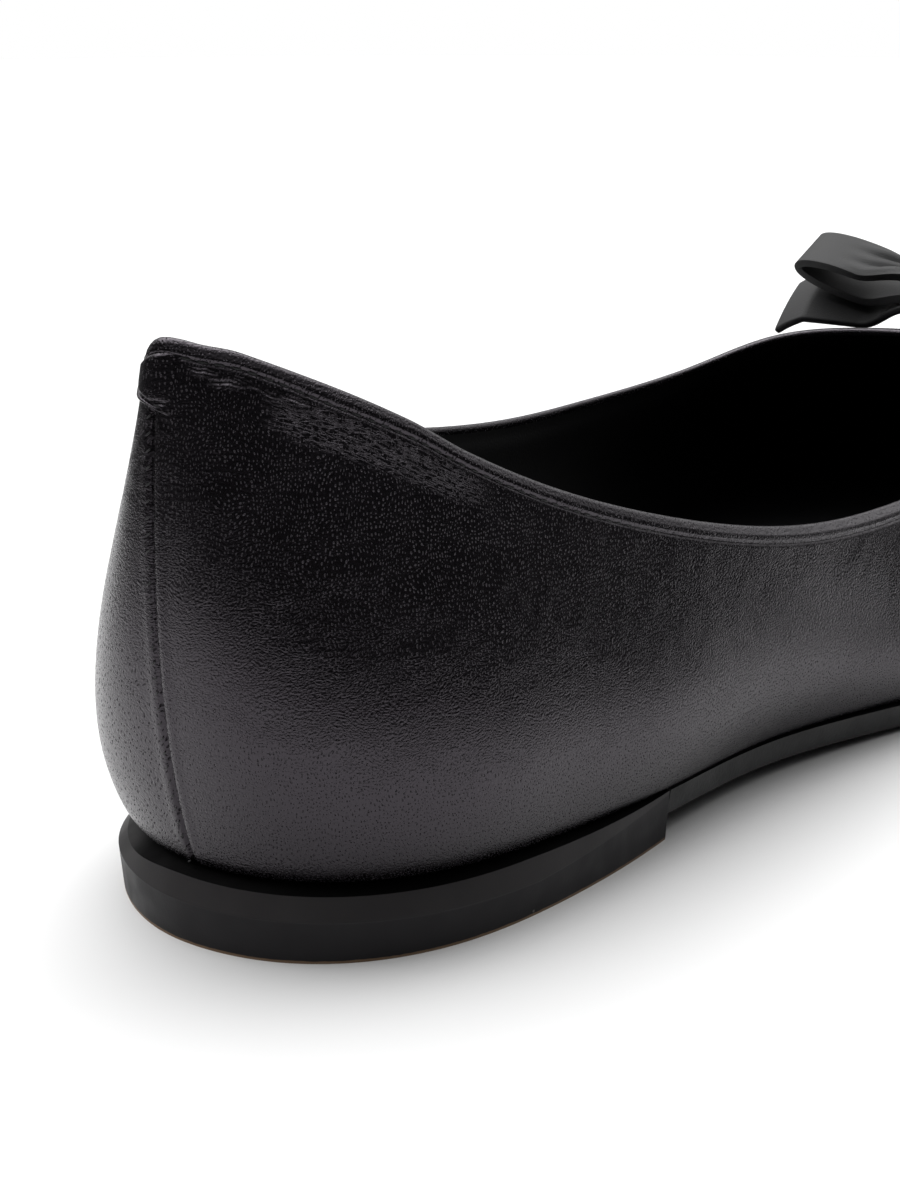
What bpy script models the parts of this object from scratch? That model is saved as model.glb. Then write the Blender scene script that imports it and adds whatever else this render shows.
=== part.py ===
"""A ballet flat, the right shoe: leather upper, thin outsole, low heel block and a ribbon bow.

Metres, +Z up. The toe points along +Y and the outer side of the foot along +X. The origin is on the
floor under the middle of the shoe.
"""
import math
from collections import namedtuple

import bmesh
import bpy
import numpy as np

# Sizes of the last: lengths run from the back of the counter, widths are at the sole's edge
LENGTH = 0.2500
HEEL_WIDTH = 0.0500
WAIST_WIDTH = 0.0512
WAIST_SHIFT = 0.0016
BALL_WIDTH = 0.0826
TOP_WIDTH = 0.0602
THROAT_AT = 0.1760
BACK_HEIGHT = 0.0645
OUTER_HEIGHT = 0.0312
INNER_HEIGHT = 0.0345
THROAT_HEIGHT = 0.0405

# The sole under the last
SOLE_THICKNESS = 0.0032
SOLE_EDGE = 0.0012
SOLE_UNDERCUT = 0.0005
SEAT_BACK_HEIGHT = 0.0081
SEAT_FRONT_HEIGHT = 0.0063
SEAT_THICKNESS = 0.0020
SEAT_INSET = 0.0032
FLAT_START = 0.1420
FLAT_END = 0.1740
TOE_SPRING = 0.0060

# The heel block
BREAST_AT = 0.0552
HEEL_LIP = 0.0024
HEEL_TAPER = 0.0004
CHAMFER_HEIGHT = 0.0031
CHAMFER_DEPTH = 0.0011
CHAMFER_RUN_OUT = 0.0250

# Walls and fits
WALL = 0.0020
CLEARANCE = 0.0003
INSOLE_THICKNESS = 0.0030

# The overlap at the top of the back seam; it is thinnest along the seam
LAP_LENGTH = 0.0078
LAP_WIDTH = 0.0062
LAP_THICKNESS = 0.0006
LAP_SEAM_SHARE = 0.35

# The bow on the throat; spans run from tip to tip
BOW_AT = 0.1850
LOOP_SPAN = 0.0550
LOOP_DEPTH = 0.0092
LOOP_HEIGHT = 0.0066
LOOP_RISE = 0.0040
LOOP_LEAN = 0.0030
LOOP_MOUTH = 0.0034
RIBBON = 0.0013
RIBBON_PINCH = 0.0090
KNOT_WIDTH = 0.0105
KNOT_WALL = 0.0022
TAIL_SPAN = 0.0572
TAIL_DEPTH = 0.0120
TAIL_DROP = 0.0032
TAIL_SWEEP = 0.0048
TAIL_SLANT = 0.0010
TAIL_SAG = 0.0020
BOW_ROLL = math.radians(36)
ROLL_FULL_AT = 0.0150

# How the bow bends, as powers and shares of the way out along a loop or a tail
LOOP_SWELL_POWER = 0.8
LOOP_CURL_POWER = 1.3
LOOP_FULL_DEPTH_SHARE = 0.95
TAIL_LIFT_SHARE = 0.9
TAIL_LEAVES_LOOP_SHARE = 0.85
TAIL_DROOP_POWER = 5
TAIL_FULL_DEPTH_SHARE = 0.9
TAIL_SAG_SHARE = 0.35
KNOT_CORNER_POWER = 0.12

# How finely the faces follow the curves
STEPS_ROUND = 5
STEPS_UP = 12
STEPS_ACROSS = 4
SEAT_STEPS = 9
WAIST_STEPS = 9
TREAD_STEPS = 4
TOE_STEPS = 10
HEEL_STEPS = 48
LAP_STEPS_DOWN = 8
LAP_STEPS_ACROSS = 6
LOOP_STEPS = 22
TAIL_STEPS = 14
KNOT_STEPS = 24
SMALL_SHARE = 0.0005

# Stations round the shoe, from the back seam along the outer side to the toe and home along the
# inner side. Shares: sole_x of half the width named in place, sole_y of LENGTH, top_x of half
# TOP_WIDTH, top_y of THROAT_AT, to_back and to_throat of the rise from the side's own height.
Station = namedtuple("Station", "place sole_x sole_y top_x top_y to_back to_throat profile")
STATIONS = (
    Station("heel", 0.00, 0.0155, 0.00, 0.0080, 1.00, 0.00, "back"),
    Station("heel", 0.48, 0.0290, 0.21, 0.0285, 0.96, 0.00, "corner"),
    Station("heel", 0.80, 0.0640, 0.45, 0.0890, 0.80, 0.00, "seat"),
    Station("heel", 1.00, 0.1320, 0.69, 0.1780, 0.53, 0.00, "side"),
    Station("heel", 1.07, 0.2200, 0.87, 0.2980, 0.27, 0.00, "breast"),
    Station("waist", 1.00, 0.3120, 0.97, 0.4380, 0.08, 0.00, "waist"),
    Station("ball", 0.80, 0.4200, 1.00, 0.590, 0.00, 0.00, "flare"),
    Station("ball", 1.00, 0.6000, 0.94, 0.784, 0.00, 0.18, "ball"),
    Station("ball", 0.93, 0.7560, 0.68, 0.925, 0.00, 0.68, "toe_side"),
    Station("ball", 0.56, 0.9140, 0.32, 0.988, 0.00, 0.96, "toe"),
    Station("ball", -0.10, 0.9940, -0.03, 1.000, 0.00, 1.00, "toe"),
    Station("ball", -0.68, 0.9200, -0.38, 0.986, 0.00, 0.95, "toe"),
    Station("ball", -0.97, 0.7900, -0.72, 0.920, 0.00, 0.80, "toe_side"),
    Station("ball", -0.97, 0.6600, -0.90, 0.815, 0.00, 0.25, "ball"),
    Station("ball", -0.79, 0.5300, -0.98, 0.680, 0.00, 0.02, "flare"),
    Station("waist", -1.02, 0.4000, -1.00, 0.550, 0.02, 0.00, "waist"),
    Station("waist", -1.00, 0.3050, -0.96, 0.430, 0.12, 0.00, "waist"),
    Station("heel", -1.03, 0.2200, -0.87, 0.2980, 0.28, 0.00, "breast"),
    Station("heel", -1.00, 0.1320, -0.66, 0.1780, 0.51, 0.00, "side"),
    Station("heel", -0.80, 0.0640, -0.40, 0.0890, 0.76, 0.00, "seat"),
    Station("heel", -0.48, 0.0290, -0.135, 0.0250, 0.905, 0.00, "corner"),
)

# How the wall leaves the sole and meets the topline, as shares of the straight run between them
Profile = namedtuple("Profile", "low_out low_up high_out high_down")
PROFILES = {
    "back": Profile(0.100, 0.30, 0.036, 0.33),
    "corner": Profile(0.130, 0.22, 0.085, 0.33),
    "seat": Profile(0.180, 0.21, 0.115, 0.33),
    "side": Profile(0.155, 0.20, 0.110, 0.33),
    "breast": Profile(0.130, 0.24, 0.060, 0.33),
    "waist": Profile(0.140, 0.30, 0.060, 0.33),
    "flare": Profile(0.130, 0.32, 0.120, 0.32),
    "ball": Profile(0.090, 0.36, 0.230, 0.26),
    "toe_side": Profile(0.060, 0.34, 0.350, 0.18),
    "toe": Profile(0.030, 0.24, 0.420, 0.10),
}


def fresh_scene():
    """Clear the file and give the shoe its collections."""
    for item in list(bpy.data.objects):
        bpy.data.objects.remove(item, do_unlink=True)
    shoe = bpy.data.collections.new("ballet_flat")
    cutters = bpy.data.collections.new("cutters")
    bpy.context.scene.collection.children.link(shoe)
    bpy.context.scene.collection.children.link(cutters)
    return shoe, cutters


def finish_material(name, colour, roughness):
    material = bpy.data.materials.new(name)
    material.use_nodes = True
    shader = material.node_tree.nodes["Principled BSDF"]
    shader.inputs["Base Color"].default_value = (*colour, 1.0)
    shader.inputs["Roughness"].default_value = roughness
    shader.inputs["Metallic"].default_value = 0.0
    return material


def closed_spline(knots, values):
    """A smooth closed curve through rows of values; knots has one entry more, the whole way round."""
    count = len(values)
    steps = np.diff(knots)
    matrix = np.zeros((count, count))
    right = np.zeros_like(values)
    for i in range(count):
        after = (i + 1) % count
        matrix[i, i - 1] += steps[i - 1]
        matrix[i, i] += 2 * (steps[i - 1] + steps[i])
        matrix[i, after] += steps[i]
        right[i] = 6 * ((values[after] - values[i]) / steps[i] - (values[i] - values[i - 1]) / steps[i - 1])
    bends = np.linalg.solve(matrix, right)

    def at(t):
        t = t % knots[-1]
        i = min(int(np.searchsorted(knots, t, side="right")) - 1, count - 1)
        after = (i + 1) % count
        step = steps[i]
        a = (knots[i + 1] - t) / step
        b = (t - knots[i]) / step
        curve = (a**3 - a) * bends[i] + (b**3 - b) * bends[after]
        return a * values[i] + b * values[after] + curve * step**2 / 6

    return at


def station_row(station):
    """A station's sole edge, topline point and profile shares as one row of numbers."""
    width, centre = {
        "heel": (HEEL_WIDTH, 0.0),
        "waist": (WAIST_WIDTH, WAIST_SHIFT),
        "ball": (BALL_WIDTH, 0.0),
    }[station.place]
    side = OUTER_HEIGHT if station.sole_x > 0 else INNER_HEIGHT
    height = side + station.to_back * (BACK_HEIGHT - side) + station.to_throat * (THROAT_HEIGHT - side)
    return (
        centre + station.sole_x * width / 2,
        station.sole_y * LENGTH,
        station.top_x * TOP_WIDTH / 2,
        station.top_y * THROAT_AT,
        height - WALL / 2,
        *PROFILES[station.profile],
    )


ROWS = np.array([station_row(station) for station in STATIONS])
SPANS = np.linalg.norm(np.roll(ROWS[:, :2], -1, axis=0) - ROWS[:, :2], axis=1)
KNOTS = np.concatenate([[0.0], np.cumsum(SPANS)])
ROUND = KNOTS[-1]
TOE_STATION = 10
WALL_SHARES = [(i / STEPS_UP) ** 1.15 for i in range(STEPS_UP + 1)]
around = closed_spline(KNOTS, ROWS)


def seat_height(y):
    """Height of the sole's upper face at a length from the heel."""
    if y <= BREAST_AT:
        return SEAT_BACK_HEIGHT + (SEAT_FRONT_HEIGHT - SEAT_BACK_HEIGHT) * y / BREAST_AT
    if y < FLAT_START:
        span = FLAT_START - BREAST_AT
        s = (y - BREAST_AT) / span
        slope = (SEAT_FRONT_HEIGHT - SEAT_BACK_HEIGHT) / BREAST_AT
        start = 2 * s**3 - 3 * s**2 + 1
        lean = s**3 - 2 * s**2 + s
        return start * SEAT_FRONT_HEIGHT + lean * span * slope + (1 - start) * SOLE_THICKNESS
    rise = max(0.0, (y - FLAT_END) / (LENGTH - FLAT_END))
    return SOLE_THICKNESS + TOE_SPRING * rise**2


def sole_edge(t):
    """The sole's edge at t and the way out from it, both seen from above."""
    here = around(t)[:2]
    reach = ROUND * SMALL_SHARE
    along = around(t + reach)[:2] - around(t - reach)[:2]
    out = np.array([along[1], -along[0]]) / np.linalg.norm(along)
    return here, out


def wall_point(t, v):
    """The upper's outer face: v runs from 0 at the sole to 1 at the topline."""
    row = around(t)
    _, out = sole_edge(t)
    foot = np.array([row[0], row[1], seat_height(row[1]) + CLEARANCE])
    top = row[2:5]
    run = np.linalg.norm(top - foot)
    low_out, low_up, high_out, high_down = row[5:9] * run
    low = foot + np.array([out[0] * low_out, out[1] * low_out, low_up])
    high = top + np.array([out[0] * high_out, out[1] * high_out, -high_down])
    w = 1 - v
    return w**3 * foot + 3 * w**2 * v * low + 3 * w * v**2 * high + v**3 * top


def wall_normal(t, v):
    reach = ROUND * SMALL_SHARE
    low, high = max(v - 4 * SMALL_SHARE, 0.0), min(v + 4 * SMALL_SHARE, 1.0)
    along = wall_point(t + reach, v) - wall_point(t - reach, v)
    up = wall_point(t, high) - wall_point(t, low)
    normal = np.cross(along, up)
    return normal / np.linalg.norm(normal)


def inner_point(t, v):
    """The lining face, a wall's thickness inside; at the sole it steps in level."""
    if v <= 0:
        foot = wall_point(t, 0)
        _, out = sole_edge(t)
        return foot - np.array([out[0], out[1], 0.0]) * WALL
    return wall_point(t, v) - wall_normal(t, v) * WALL


def t_at_length(y, outer):
    """Where the sole's edge is y from the heel, on the outer or the inner side."""
    toe = KNOTS[TOE_STATION]
    near, far = (0.0, toe) if outer else (ROUND, toe)
    for _ in range(50):
        middle = (near + far) / 2
        if around(middle)[1] < y:
            near = middle
        else:
            far = middle
    return (near + far) / 2


def place(point):
    """From lengths counted from the heel to the shoe's own frame."""
    return (point[0], point[1] - LENGTH / 2, point[2])


def shaded_mesh(name, vertices, faces, material, smooth_angle=30):
    """A welded mesh with its faces the right way round."""
    mesh = bpy.data.meshes.new(name)
    mesh.from_pydata(vertices, [], faces)
    work = bmesh.new()
    work.from_mesh(mesh)
    bmesh.ops.remove_doubles(work, verts=work.verts, dist=1e-7)
    bmesh.ops.recalc_face_normals(work, faces=work.faces)
    work.to_mesh(mesh)
    work.free()
    mesh.materials.append(material)
    mesh.shade_smooth()
    mesh.set_sharp_from_angle(angle=math.radians(smooth_angle))
    return mesh


def mesh_object(name, vertices, faces, material, collection, smooth_angle=30):
    """A piece whose points have their lengths counted from the heel."""
    placed = [place(point) for point in vertices]
    item = bpy.data.objects.new(name, shaded_mesh(name, placed, faces, material, smooth_angle))
    collection.objects.link(item)
    return item


def grid_faces(rows, columns, wrap_rows=False, wrap_columns=False):
    faces = []
    for i in range(rows if wrap_rows else rows - 1):
        for j in range(columns if wrap_columns else columns - 1):
            a = i * columns + j
            b = i * columns + (j + 1) % columns
            c = ((i + 1) % rows) * columns + (j + 1) % columns
            d = ((i + 1) % rows) * columns + j
            faces.append((a, b, c, d))
    return faces


def slab_faces(count, wide):
    """Faces of a closed slab: a grid of points, the same grid below it, and the border between."""
    under = count * wide
    upper = grid_faces(count, wide)
    faces = upper + [tuple(index + under for index in reversed(face)) for face in upper]
    border = [i * wide for i in range(count)]
    border += [(count - 1) * wide + j for j in range(1, wide)]
    border += [i * wide + wide - 1 for i in reversed(range(count - 1))]
    border += list(reversed(range(1, wide - 1)))
    for a, b in zip(border, border[1:] + border[:1]):
        faces.append((a, b, b + under, a + under))
    return faces


def round_samples():
    """Places round the shoe, the same number between each two stations."""
    samples = []
    for start, end in zip(KNOTS[:-1], KNOTS[1:]):
        samples += list(np.linspace(start, end, STEPS_ROUND, endpoint=False))
    return samples


def make_upper(material, collection):
    """The whole upper as one wall: outer face, rounded topline, lining face."""
    samples = round_samples()
    rings = [[wall_point(t, v) for t in samples] for v in WALL_SHARES]
    crest = []
    for t in samples:
        top, lining = wall_point(t, 1), inner_point(t, 1)
        up = wall_point(t, 1) - wall_point(t, 0.97)
        crest.append((top + lining) / 2 + up / np.linalg.norm(up) * WALL / 2)
    rings.append(crest)
    rings += [[inner_point(t, v) for t in samples] for v in reversed(WALL_SHARES)]
    vertices = [point for ring in rings for point in ring]
    faces = grid_faces(len(rings), len(samples), wrap_rows=True, wrap_columns=True)
    return mesh_object("upper", vertices, faces, material, collection, smooth_angle=50)


def plate(name, upper, lower, material, collection):
    """A closed plate. Upper and lower are each a list of edge pairs and a rule for height by length."""
    vertices = []
    for pairs, height in (upper, lower):
        for right, left in pairs:
            for k in range(STEPS_ACROSS + 1):
                s = k / STEPS_ACROSS
                x = right[0] + s * (left[0] - right[0])
                y = right[1] + s * (left[1] - right[1])
                vertices.append((x, y, height(y)))
    faces = slab_faces(len(upper[0]), STEPS_ACROSS + 1)
    return mesh_object(name, vertices, faces, material, collection)


def spaced(start, end, count, round_start=False, round_end=False):
    """Lengths from start to end, closer together at a round end."""
    lengths = []
    for i in range(count + 1):
        s = i / count
        if round_start:
            s = 1 - math.cos(math.pi * s / 2)
        if round_end:
            s = math.sin(math.pi * s / 2)
        lengths.append(start + s * (end - start))
    return lengths


def edge_pair(y, offset):
    """The two points of the sole's edge at a length, each moved out by the offset."""
    pair = []
    for outer in (True, False):
        here, out = sole_edge(t_at_length(y, outer))
        pair.append(here + out * offset)
    return pair


def level(pair, y):
    """The same pair with both points brought to one length."""
    return [np.array([point[0], y]) for point in pair]


def smooth_share(value, start, end):
    s = min(max((value - start) / (end - start), 0.0), 1.0)
    return s * s * (3 - 2 * s)


def sole_offset(y):
    """How far the outsole stands out past the upper: flush at the waist, a narrow edge at the ball."""
    return SOLE_EDGE * smooth_share(y, BREAST_AT, FLAT_START)


def seat_rows(grow=0.0, end=BREAST_AT):
    """The part of the outsole that lies in the heel block, a margin inside the upper's edge."""
    back = ROWS[0][1]
    lengths = spaced(back, BREAST_AT, SEAT_STEPS, round_start=True)
    rows = [edge_pair(y, grow - SEAT_INSET) for y in lengths]
    rows[-1] = level(rows[-1], BREAST_AT)
    if end > BREAST_AT:
        rows.append(level(rows[-1], end))
    return rows


def make_outsole(material, collection):
    """One plate from seat to toe, with shoulders where it leaves the heel block."""
    tip = around(KNOTS[TOE_STATION])[1]
    breast = BREAST_AT + CLEARANCE
    lengths = spaced(breast, FLAT_START, WAIST_STEPS)[:-1]
    lengths += spaced(FLAT_START, FLAT_END, TREAD_STEPS)[:-1]
    lengths += spaced(FLAT_END, tip, TOE_STEPS, round_end=True)
    upper = seat_rows()
    lower = seat_rows()
    for y in lengths:
        upper.append(edge_pair(y, sole_offset(y)))
        lower.append(edge_pair(y, sole_offset(y) - SOLE_UNDERCUT))
    shoulder = len(seat_rows())
    upper[shoulder] = level(upper[shoulder], breast)
    lower[shoulder] = level(lower[shoulder], breast)

    def under(y):
        thickness = SEAT_THICKNESS if y < BREAST_AT + CLEARANCE / 2 else SOLE_THICKNESS
        return seat_height(y) - thickness

    return plate("outsole", (upper, seat_height), (lower, under), material, collection)


def make_heel(material, collection, cutters):
    """A low block under the seat: its side stands out as a lip with a sloping upper band."""
    start = t_at_length(BREAST_AT, False) - ROUND
    end = t_at_length(BREAST_AT, True)
    samples = list(np.linspace(start, end, HEEL_STEPS))
    rings = []
    for layer in ("floor", "band", "seat"):
        ring = []
        for t in samples:
            here, out = sole_edge(t)
            share = min(max(1 - (here[1] / BREAST_AT) ** 2, 0.0), 1.0)
            band = min(max((BREAST_AT - here[1]) / CHAMFER_RUN_OUT, 0.0), 1.0)
            lip = HEEL_LIP * share
            top = seat_height(here[1])
            if layer == "floor":
                offset, height = lip - HEEL_TAPER, 0.0
            elif layer == "band":
                offset, height = lip, top - CHAMFER_HEIGHT * band - CLEARANCE
            else:
                offset, height = lip - CHAMFER_DEPTH * band * share, None
            x, y = here + out * offset
            ring.append((x, y, seat_height(y) if height is None else height))
        rings.append(ring)
    vertices = [point for ring in rings for point in ring]
    count = len(samples)
    faces = grid_faces(len(rings), count, wrap_columns=True)
    faces.append(tuple(range(count)))
    faces.append(tuple(range(2 * count, 3 * count)))
    heel = mesh_object("heel", vertices, faces, material, collection)
    rows = seat_rows(grow=CLEARANCE, end=BREAST_AT + SEAT_INSET)
    cutter = plate(
        "seat_recess",
        (rows, lambda y: seat_height(y) + SEAT_THICKNESS),
        (rows, lambda y: seat_height(y) - SEAT_THICKNESS - CLEARANCE),
        material,
        cutters,
    )
    cutter.hide_render = True
    cutter.display_type = "WIRE"
    cut = heel.modifiers.new("seat recess", "BOOLEAN")
    cut.operation = "DIFFERENCE"
    cut.object = cutter
    return heel


def lining_at(t, lift):
    """The lining face at a height above the upper's foot, on the straight facets of the wall."""
    below = inner_point(t, 0)
    goal = below[2] + lift
    for v in WALL_SHARES[1:]:
        above = inner_point(t, v)
        if above[2] >= goal:
            share = (goal - below[2]) / (above[2] - below[2])
            return below + share * (above - below)
        below = above
    return below


def make_insole(material, collection):
    """A padded sock as wide as the lining leaves room for."""
    samples = round_samples()
    count = len(samples)
    upper, lower = [], []
    for i in range(count // 2 + 1):
        low_pair, high_pair = [], []
        for t in (samples[i], samples[-i]):
            _, out = sole_edge(t)
            low = inner_point(t, 0)[:2] - out * CLEARANCE
            high = lining_at(t, INSOLE_THICKNESS)[:2] - out * CLEARANCE
            low_pair.append(low)
            high_pair.append(high)
        upper.append(high_pair)
        lower.append(low_pair)
    return plate(
        "insole",
        (upper, lambda y: seat_height(y) + CLEARANCE + INSOLE_THICKNESS),
        (lower, lambda y: seat_height(y) + CLEARANCE),
        material,
        collection,
    )


def make_lap(material, collection):
    """The outer quarter's rounded end, laid over the inner quarter at the top of the back seam."""
    run = np.linalg.norm(wall_point(0, 1) - wall_point(0, 0))
    reach = ROUND * SMALL_SHARE
    outside, inside = [], []
    for i in range(LAP_STEPS_DOWN + 1):
        down = i / LAP_STEPS_DOWN
        v = 1 - down * LAP_LENGTH / run
        speed = np.linalg.norm(wall_point(reach, v) - wall_point(-reach, v)) / (2 * reach)
        width = LAP_WIDTH * math.sqrt(max(1 - down**2, 0.02))
        for j in range(LAP_STEPS_ACROSS + 1):
            across = j / LAP_STEPS_ACROSS
            t = -width * across / speed
            normal = wall_normal(t, v)
            base = wall_point(t, v) + normal * CLEARANCE
            share = LAP_SEAM_SHARE + (1 - LAP_SEAM_SHARE) * min(1.0, 3 * across)
            inside.append(base)
            outside.append(base + normal * LAP_THICKNESS * share)
    faces = slab_faces(LAP_STEPS_DOWN + 1, LAP_STEPS_ACROSS + 1)
    return mesh_object("dog_tail", outside + inside, faces, material, collection)


def bow_seat(collection):
    """An empty on the vamp's ridge, tipped to its slope, that carries the bow."""
    t = KNOTS[TOE_STATION]
    low, high = 0.0, 1.0
    for _ in range(40):
        v = (low + high) / 2
        if wall_point(t, v)[1] > BOW_AT:
            low = v
        else:
            high = v
    here = wall_point(t, v)
    slope = wall_point(t, v - 0.02) - here
    seat = bpy.data.objects.new("bow_seat", None)
    seat.empty_display_size = KNOT_WIDTH
    seat.location = place(here)
    seat.rotation_euler = (math.atan2(slope[2], slope[1]), 0.0, 0.0)
    collection.objects.link(seat)
    return seat


def ribbon(name, rows, seat, material, collection):
    """A strip of ribbon through rows of points, thickened both ways and parented to the bow's seat."""
    vertices = [point for row in rows for point in row]
    mesh = shaded_mesh(name, vertices, grid_faces(len(rows), len(rows[0])), material)
    item = bpy.data.objects.new(name, mesh)
    collection.objects.link(item)
    item.parent = seat
    wall = item.modifiers.new("ribbon thickness", "SOLIDIFY")
    wall.thickness = RIBBON
    wall.offset = 0.0
    wall.use_even_offset = True
    return item


STACK_FOOT = CLEARANCE + KNOT_WALL + CLEARANCE
STACK_HEIGHT = RIBBON + CLEARANCE + LOOP_MOUTH + RIBBON
MOUTH = KNOT_WIDTH / 2 + CLEARANCE
TAIL_LEVEL = STACK_FOOT + RIBBON / 2
LOOP_LEVEL = TAIL_LEVEL + RIBBON + CLEARANCE
LOOP_REACH = LOOP_SPAN / 2 - MOUTH - RIBBON / 2
ROLL_AXIS = STACK_FOOT + STACK_HEIGHT / 2


def rolled(x, y, z):
    """A point of the bow turned about its long axis, heel-side edge down, the more the farther out."""
    turn = BOW_ROLL * smooth_share(abs(x), MOUTH, ROLL_FULL_AT)
    c, s = math.cos(turn), math.sin(turn)
    rise = z - ROLL_AXIS
    return x, y * c - rise * s, ROLL_AXIS + y * s + rise * c


def band_points(x, y, z, half, slant=0.0, sag=0.0):
    """One row across a ribbon, from its heel-side edge, which may sag, to its toe-side edge."""
    points = []
    for k in range(STEPS_ACROSS + 1):
        across = -1 + 2 * k / STEPS_ACROSS
        points.append(rolled(x + slant * across, y + half * across, z - sag * ((1 - across) / 2) ** 2))
    return points


def loop_swell(out):
    """Half the height between a loop's two leaves."""
    return LOOP_MOUTH / 2 + (LOOP_HEIGHT - LOOP_MOUTH) / 2 * out**LOOP_SWELL_POWER


def loop_floor(out):
    """How far the loop's lower leaf has risen where its middle line is a share of the way out."""
    return LOOP_RISE * out**LOOP_CURL_POWER + loop_swell(out) * (1 - math.sqrt(max(1 - out**2, 0.0)))


def make_loop(name, side, seat, material, collection):
    """A flat teardrop loop, open to heel and toe, gathered at the knot."""
    rows = [band_points(side * CLEARANCE, 0.0, LOOP_LEVEL, RIBBON_PINCH / 2)]
    for i in range(LOOP_STEPS + 1):
        angle = math.pi * i / LOOP_STEPS
        out = max(math.sin(angle), 0.0)
        swell = loop_swell(out)
        z = LOOP_LEVEL + LOOP_RISE * out**LOOP_CURL_POWER + swell * (1 - math.cos(angle))
        x = MOUTH + LOOP_REACH * out - LOOP_LEAN * out * (1 - math.cos(angle)) / 2
        full = smooth_share(out, 0.0, LOOP_FULL_DEPTH_SHARE)
        half = RIBBON_PINCH / 2 + (LOOP_DEPTH - RIBBON_PINCH) / 2 * full
        rows.append(band_points(side * x, 0.0, z, half))
    rows.append(band_points(side * CLEARANCE, 0.0, LOOP_LEVEL + LOOP_MOUTH, RIBBON_PINCH / 2))
    return ribbon(name, rows, seat, material, collection)


def make_tail(name, side, seat, material, collection):
    """A short end that follows the loop's lower leaf, then drapes down; cut on the slant."""
    reach = TAIL_SPAN / 2 - MOUTH
    rows = [band_points(side * CLEARANCE, 0.0, TAIL_LEVEL, RIBBON_PINCH / 2)]
    for i in range(TAIL_STEPS + 1):
        out = i / TAIL_STEPS
        under_loop = min(out * reach / LOOP_REACH, TAIL_LEAVES_LOOP_SHARE)
        x = side * (MOUTH + reach * out)
        y = -TAIL_SWEEP * out**LOOP_CURL_POWER
        z = TAIL_LEVEL + TAIL_LIFT_SHARE * loop_floor(under_loop) - TAIL_DROP * out**TAIL_DROOP_POWER
        full = smooth_share(out, 0.0, TAIL_FULL_DEPTH_SHARE)
        half = RIBBON_PINCH / 2 + (TAIL_DEPTH - RIBBON_PINCH) / 2 * full
        slant = side * TAIL_SLANT / 2 * smooth_share(out, 0.5, 1.0)
        sag = TAIL_SAG * smooth_share(out, 0.0, TAIL_SAG_SHARE)
        rows.append(band_points(x, y, z, half, slant, sag))
    return ribbon(name, rows, seat, material, collection)


def make_knot(seat, material, collection):
    """The band that gathers the bow, a short sleeve round the ribbons."""
    hole_y = RIBBON_PINCH / 2 + CLEARANCE
    hole_z = STACK_HEIGHT / 2 + CLEARANCE
    middle = STACK_FOOT + STACK_HEIGHT / 2
    # Each ring's place along the sleeve and its wall, as shares; the last two run along the hole
    rings = ((-0.5, 0.72), (-0.3, 0.95), (0.0, 1.0), (0.3, 0.95), (0.5, 0.72), (0.5, 0.0), (-0.5, 0.0))
    vertices = []
    for along, wall in rings:
        for i in range(KNOT_STEPS):
            angle = 2 * math.pi * i / KNOT_STEPS
            c, s = math.cos(angle), math.sin(angle)
            y = math.copysign(abs(c) ** KNOT_CORNER_POWER, c) * hole_y + c * wall * KNOT_WALL
            z = math.copysign(abs(s) ** KNOT_CORNER_POWER, s) * hole_z + s * wall * KNOT_WALL
            vertices.append((along * KNOT_WIDTH, y, middle + z))
    faces = grid_faces(len(rings), KNOT_STEPS, wrap_rows=True, wrap_columns=True)
    mesh = shaded_mesh("bow_knot", vertices, faces, material, smooth_angle=40)
    item = bpy.data.objects.new("bow_knot", mesh)
    collection.objects.link(item)
    item.parent = seat
    return item


def build():
    shoe, cutters = fresh_scene()
    leather = finish_material("black leather", (0.012, 0.011, 0.013), 0.38)
    sole_rubber = finish_material("black sole", (0.016, 0.016, 0.017), 0.45)
    sock = finish_material("black sock lining", (0.010, 0.010, 0.011), 0.55)
    bow_leather = finish_material("black bow leather", (0.011, 0.011, 0.012), 0.6)
    make_upper(leather, shoe)
    make_outsole(sole_rubber, shoe)
    make_heel(sole_rubber, shoe, cutters)
    make_insole(sock, shoe)
    make_lap(leather, shoe)
    seat = bow_seat(shoe)
    for name, side in (("outer", 1), ("inner", -1)):
        make_loop(f"bow_loop_{name}", side, seat, bow_leather, shoe)
        make_tail(f"bow_tail_{name}", side, seat, bow_leather, shoe)
    make_knot(seat, bow_leather, shoe)


build()
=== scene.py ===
import math
from collections import namedtuple

import bmesh
import bpy
import numpy as np
from mathutils import Matrix, Vector, noise


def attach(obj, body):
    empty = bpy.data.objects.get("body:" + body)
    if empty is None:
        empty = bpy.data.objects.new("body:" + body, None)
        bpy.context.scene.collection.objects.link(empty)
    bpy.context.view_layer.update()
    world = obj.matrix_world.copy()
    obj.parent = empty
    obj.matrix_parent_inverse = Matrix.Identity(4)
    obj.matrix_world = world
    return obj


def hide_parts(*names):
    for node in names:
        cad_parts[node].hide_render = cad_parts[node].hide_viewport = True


# A black leather ballet flat for the right foot. Metres, toe along +Y, outer side along +X, +Z up.
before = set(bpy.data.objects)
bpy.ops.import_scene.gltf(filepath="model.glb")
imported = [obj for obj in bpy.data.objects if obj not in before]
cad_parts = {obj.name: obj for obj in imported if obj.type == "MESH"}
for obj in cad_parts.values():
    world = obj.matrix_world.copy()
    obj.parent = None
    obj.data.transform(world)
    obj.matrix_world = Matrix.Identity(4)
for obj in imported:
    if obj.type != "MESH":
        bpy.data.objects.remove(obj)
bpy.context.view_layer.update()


# Camera
# It stands close behind the heel on the outer side and looks along the shoe and a little down.
# The toe runs out of the picture on the right, as in the photo.
VIEW_HEADING = math.radians(37.62)
VIEW_PITCH = math.radians(17.74)
CAMERA_PLACE = (0.1448, -0.2649, 0.1021)
LENS = 63.09

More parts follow.
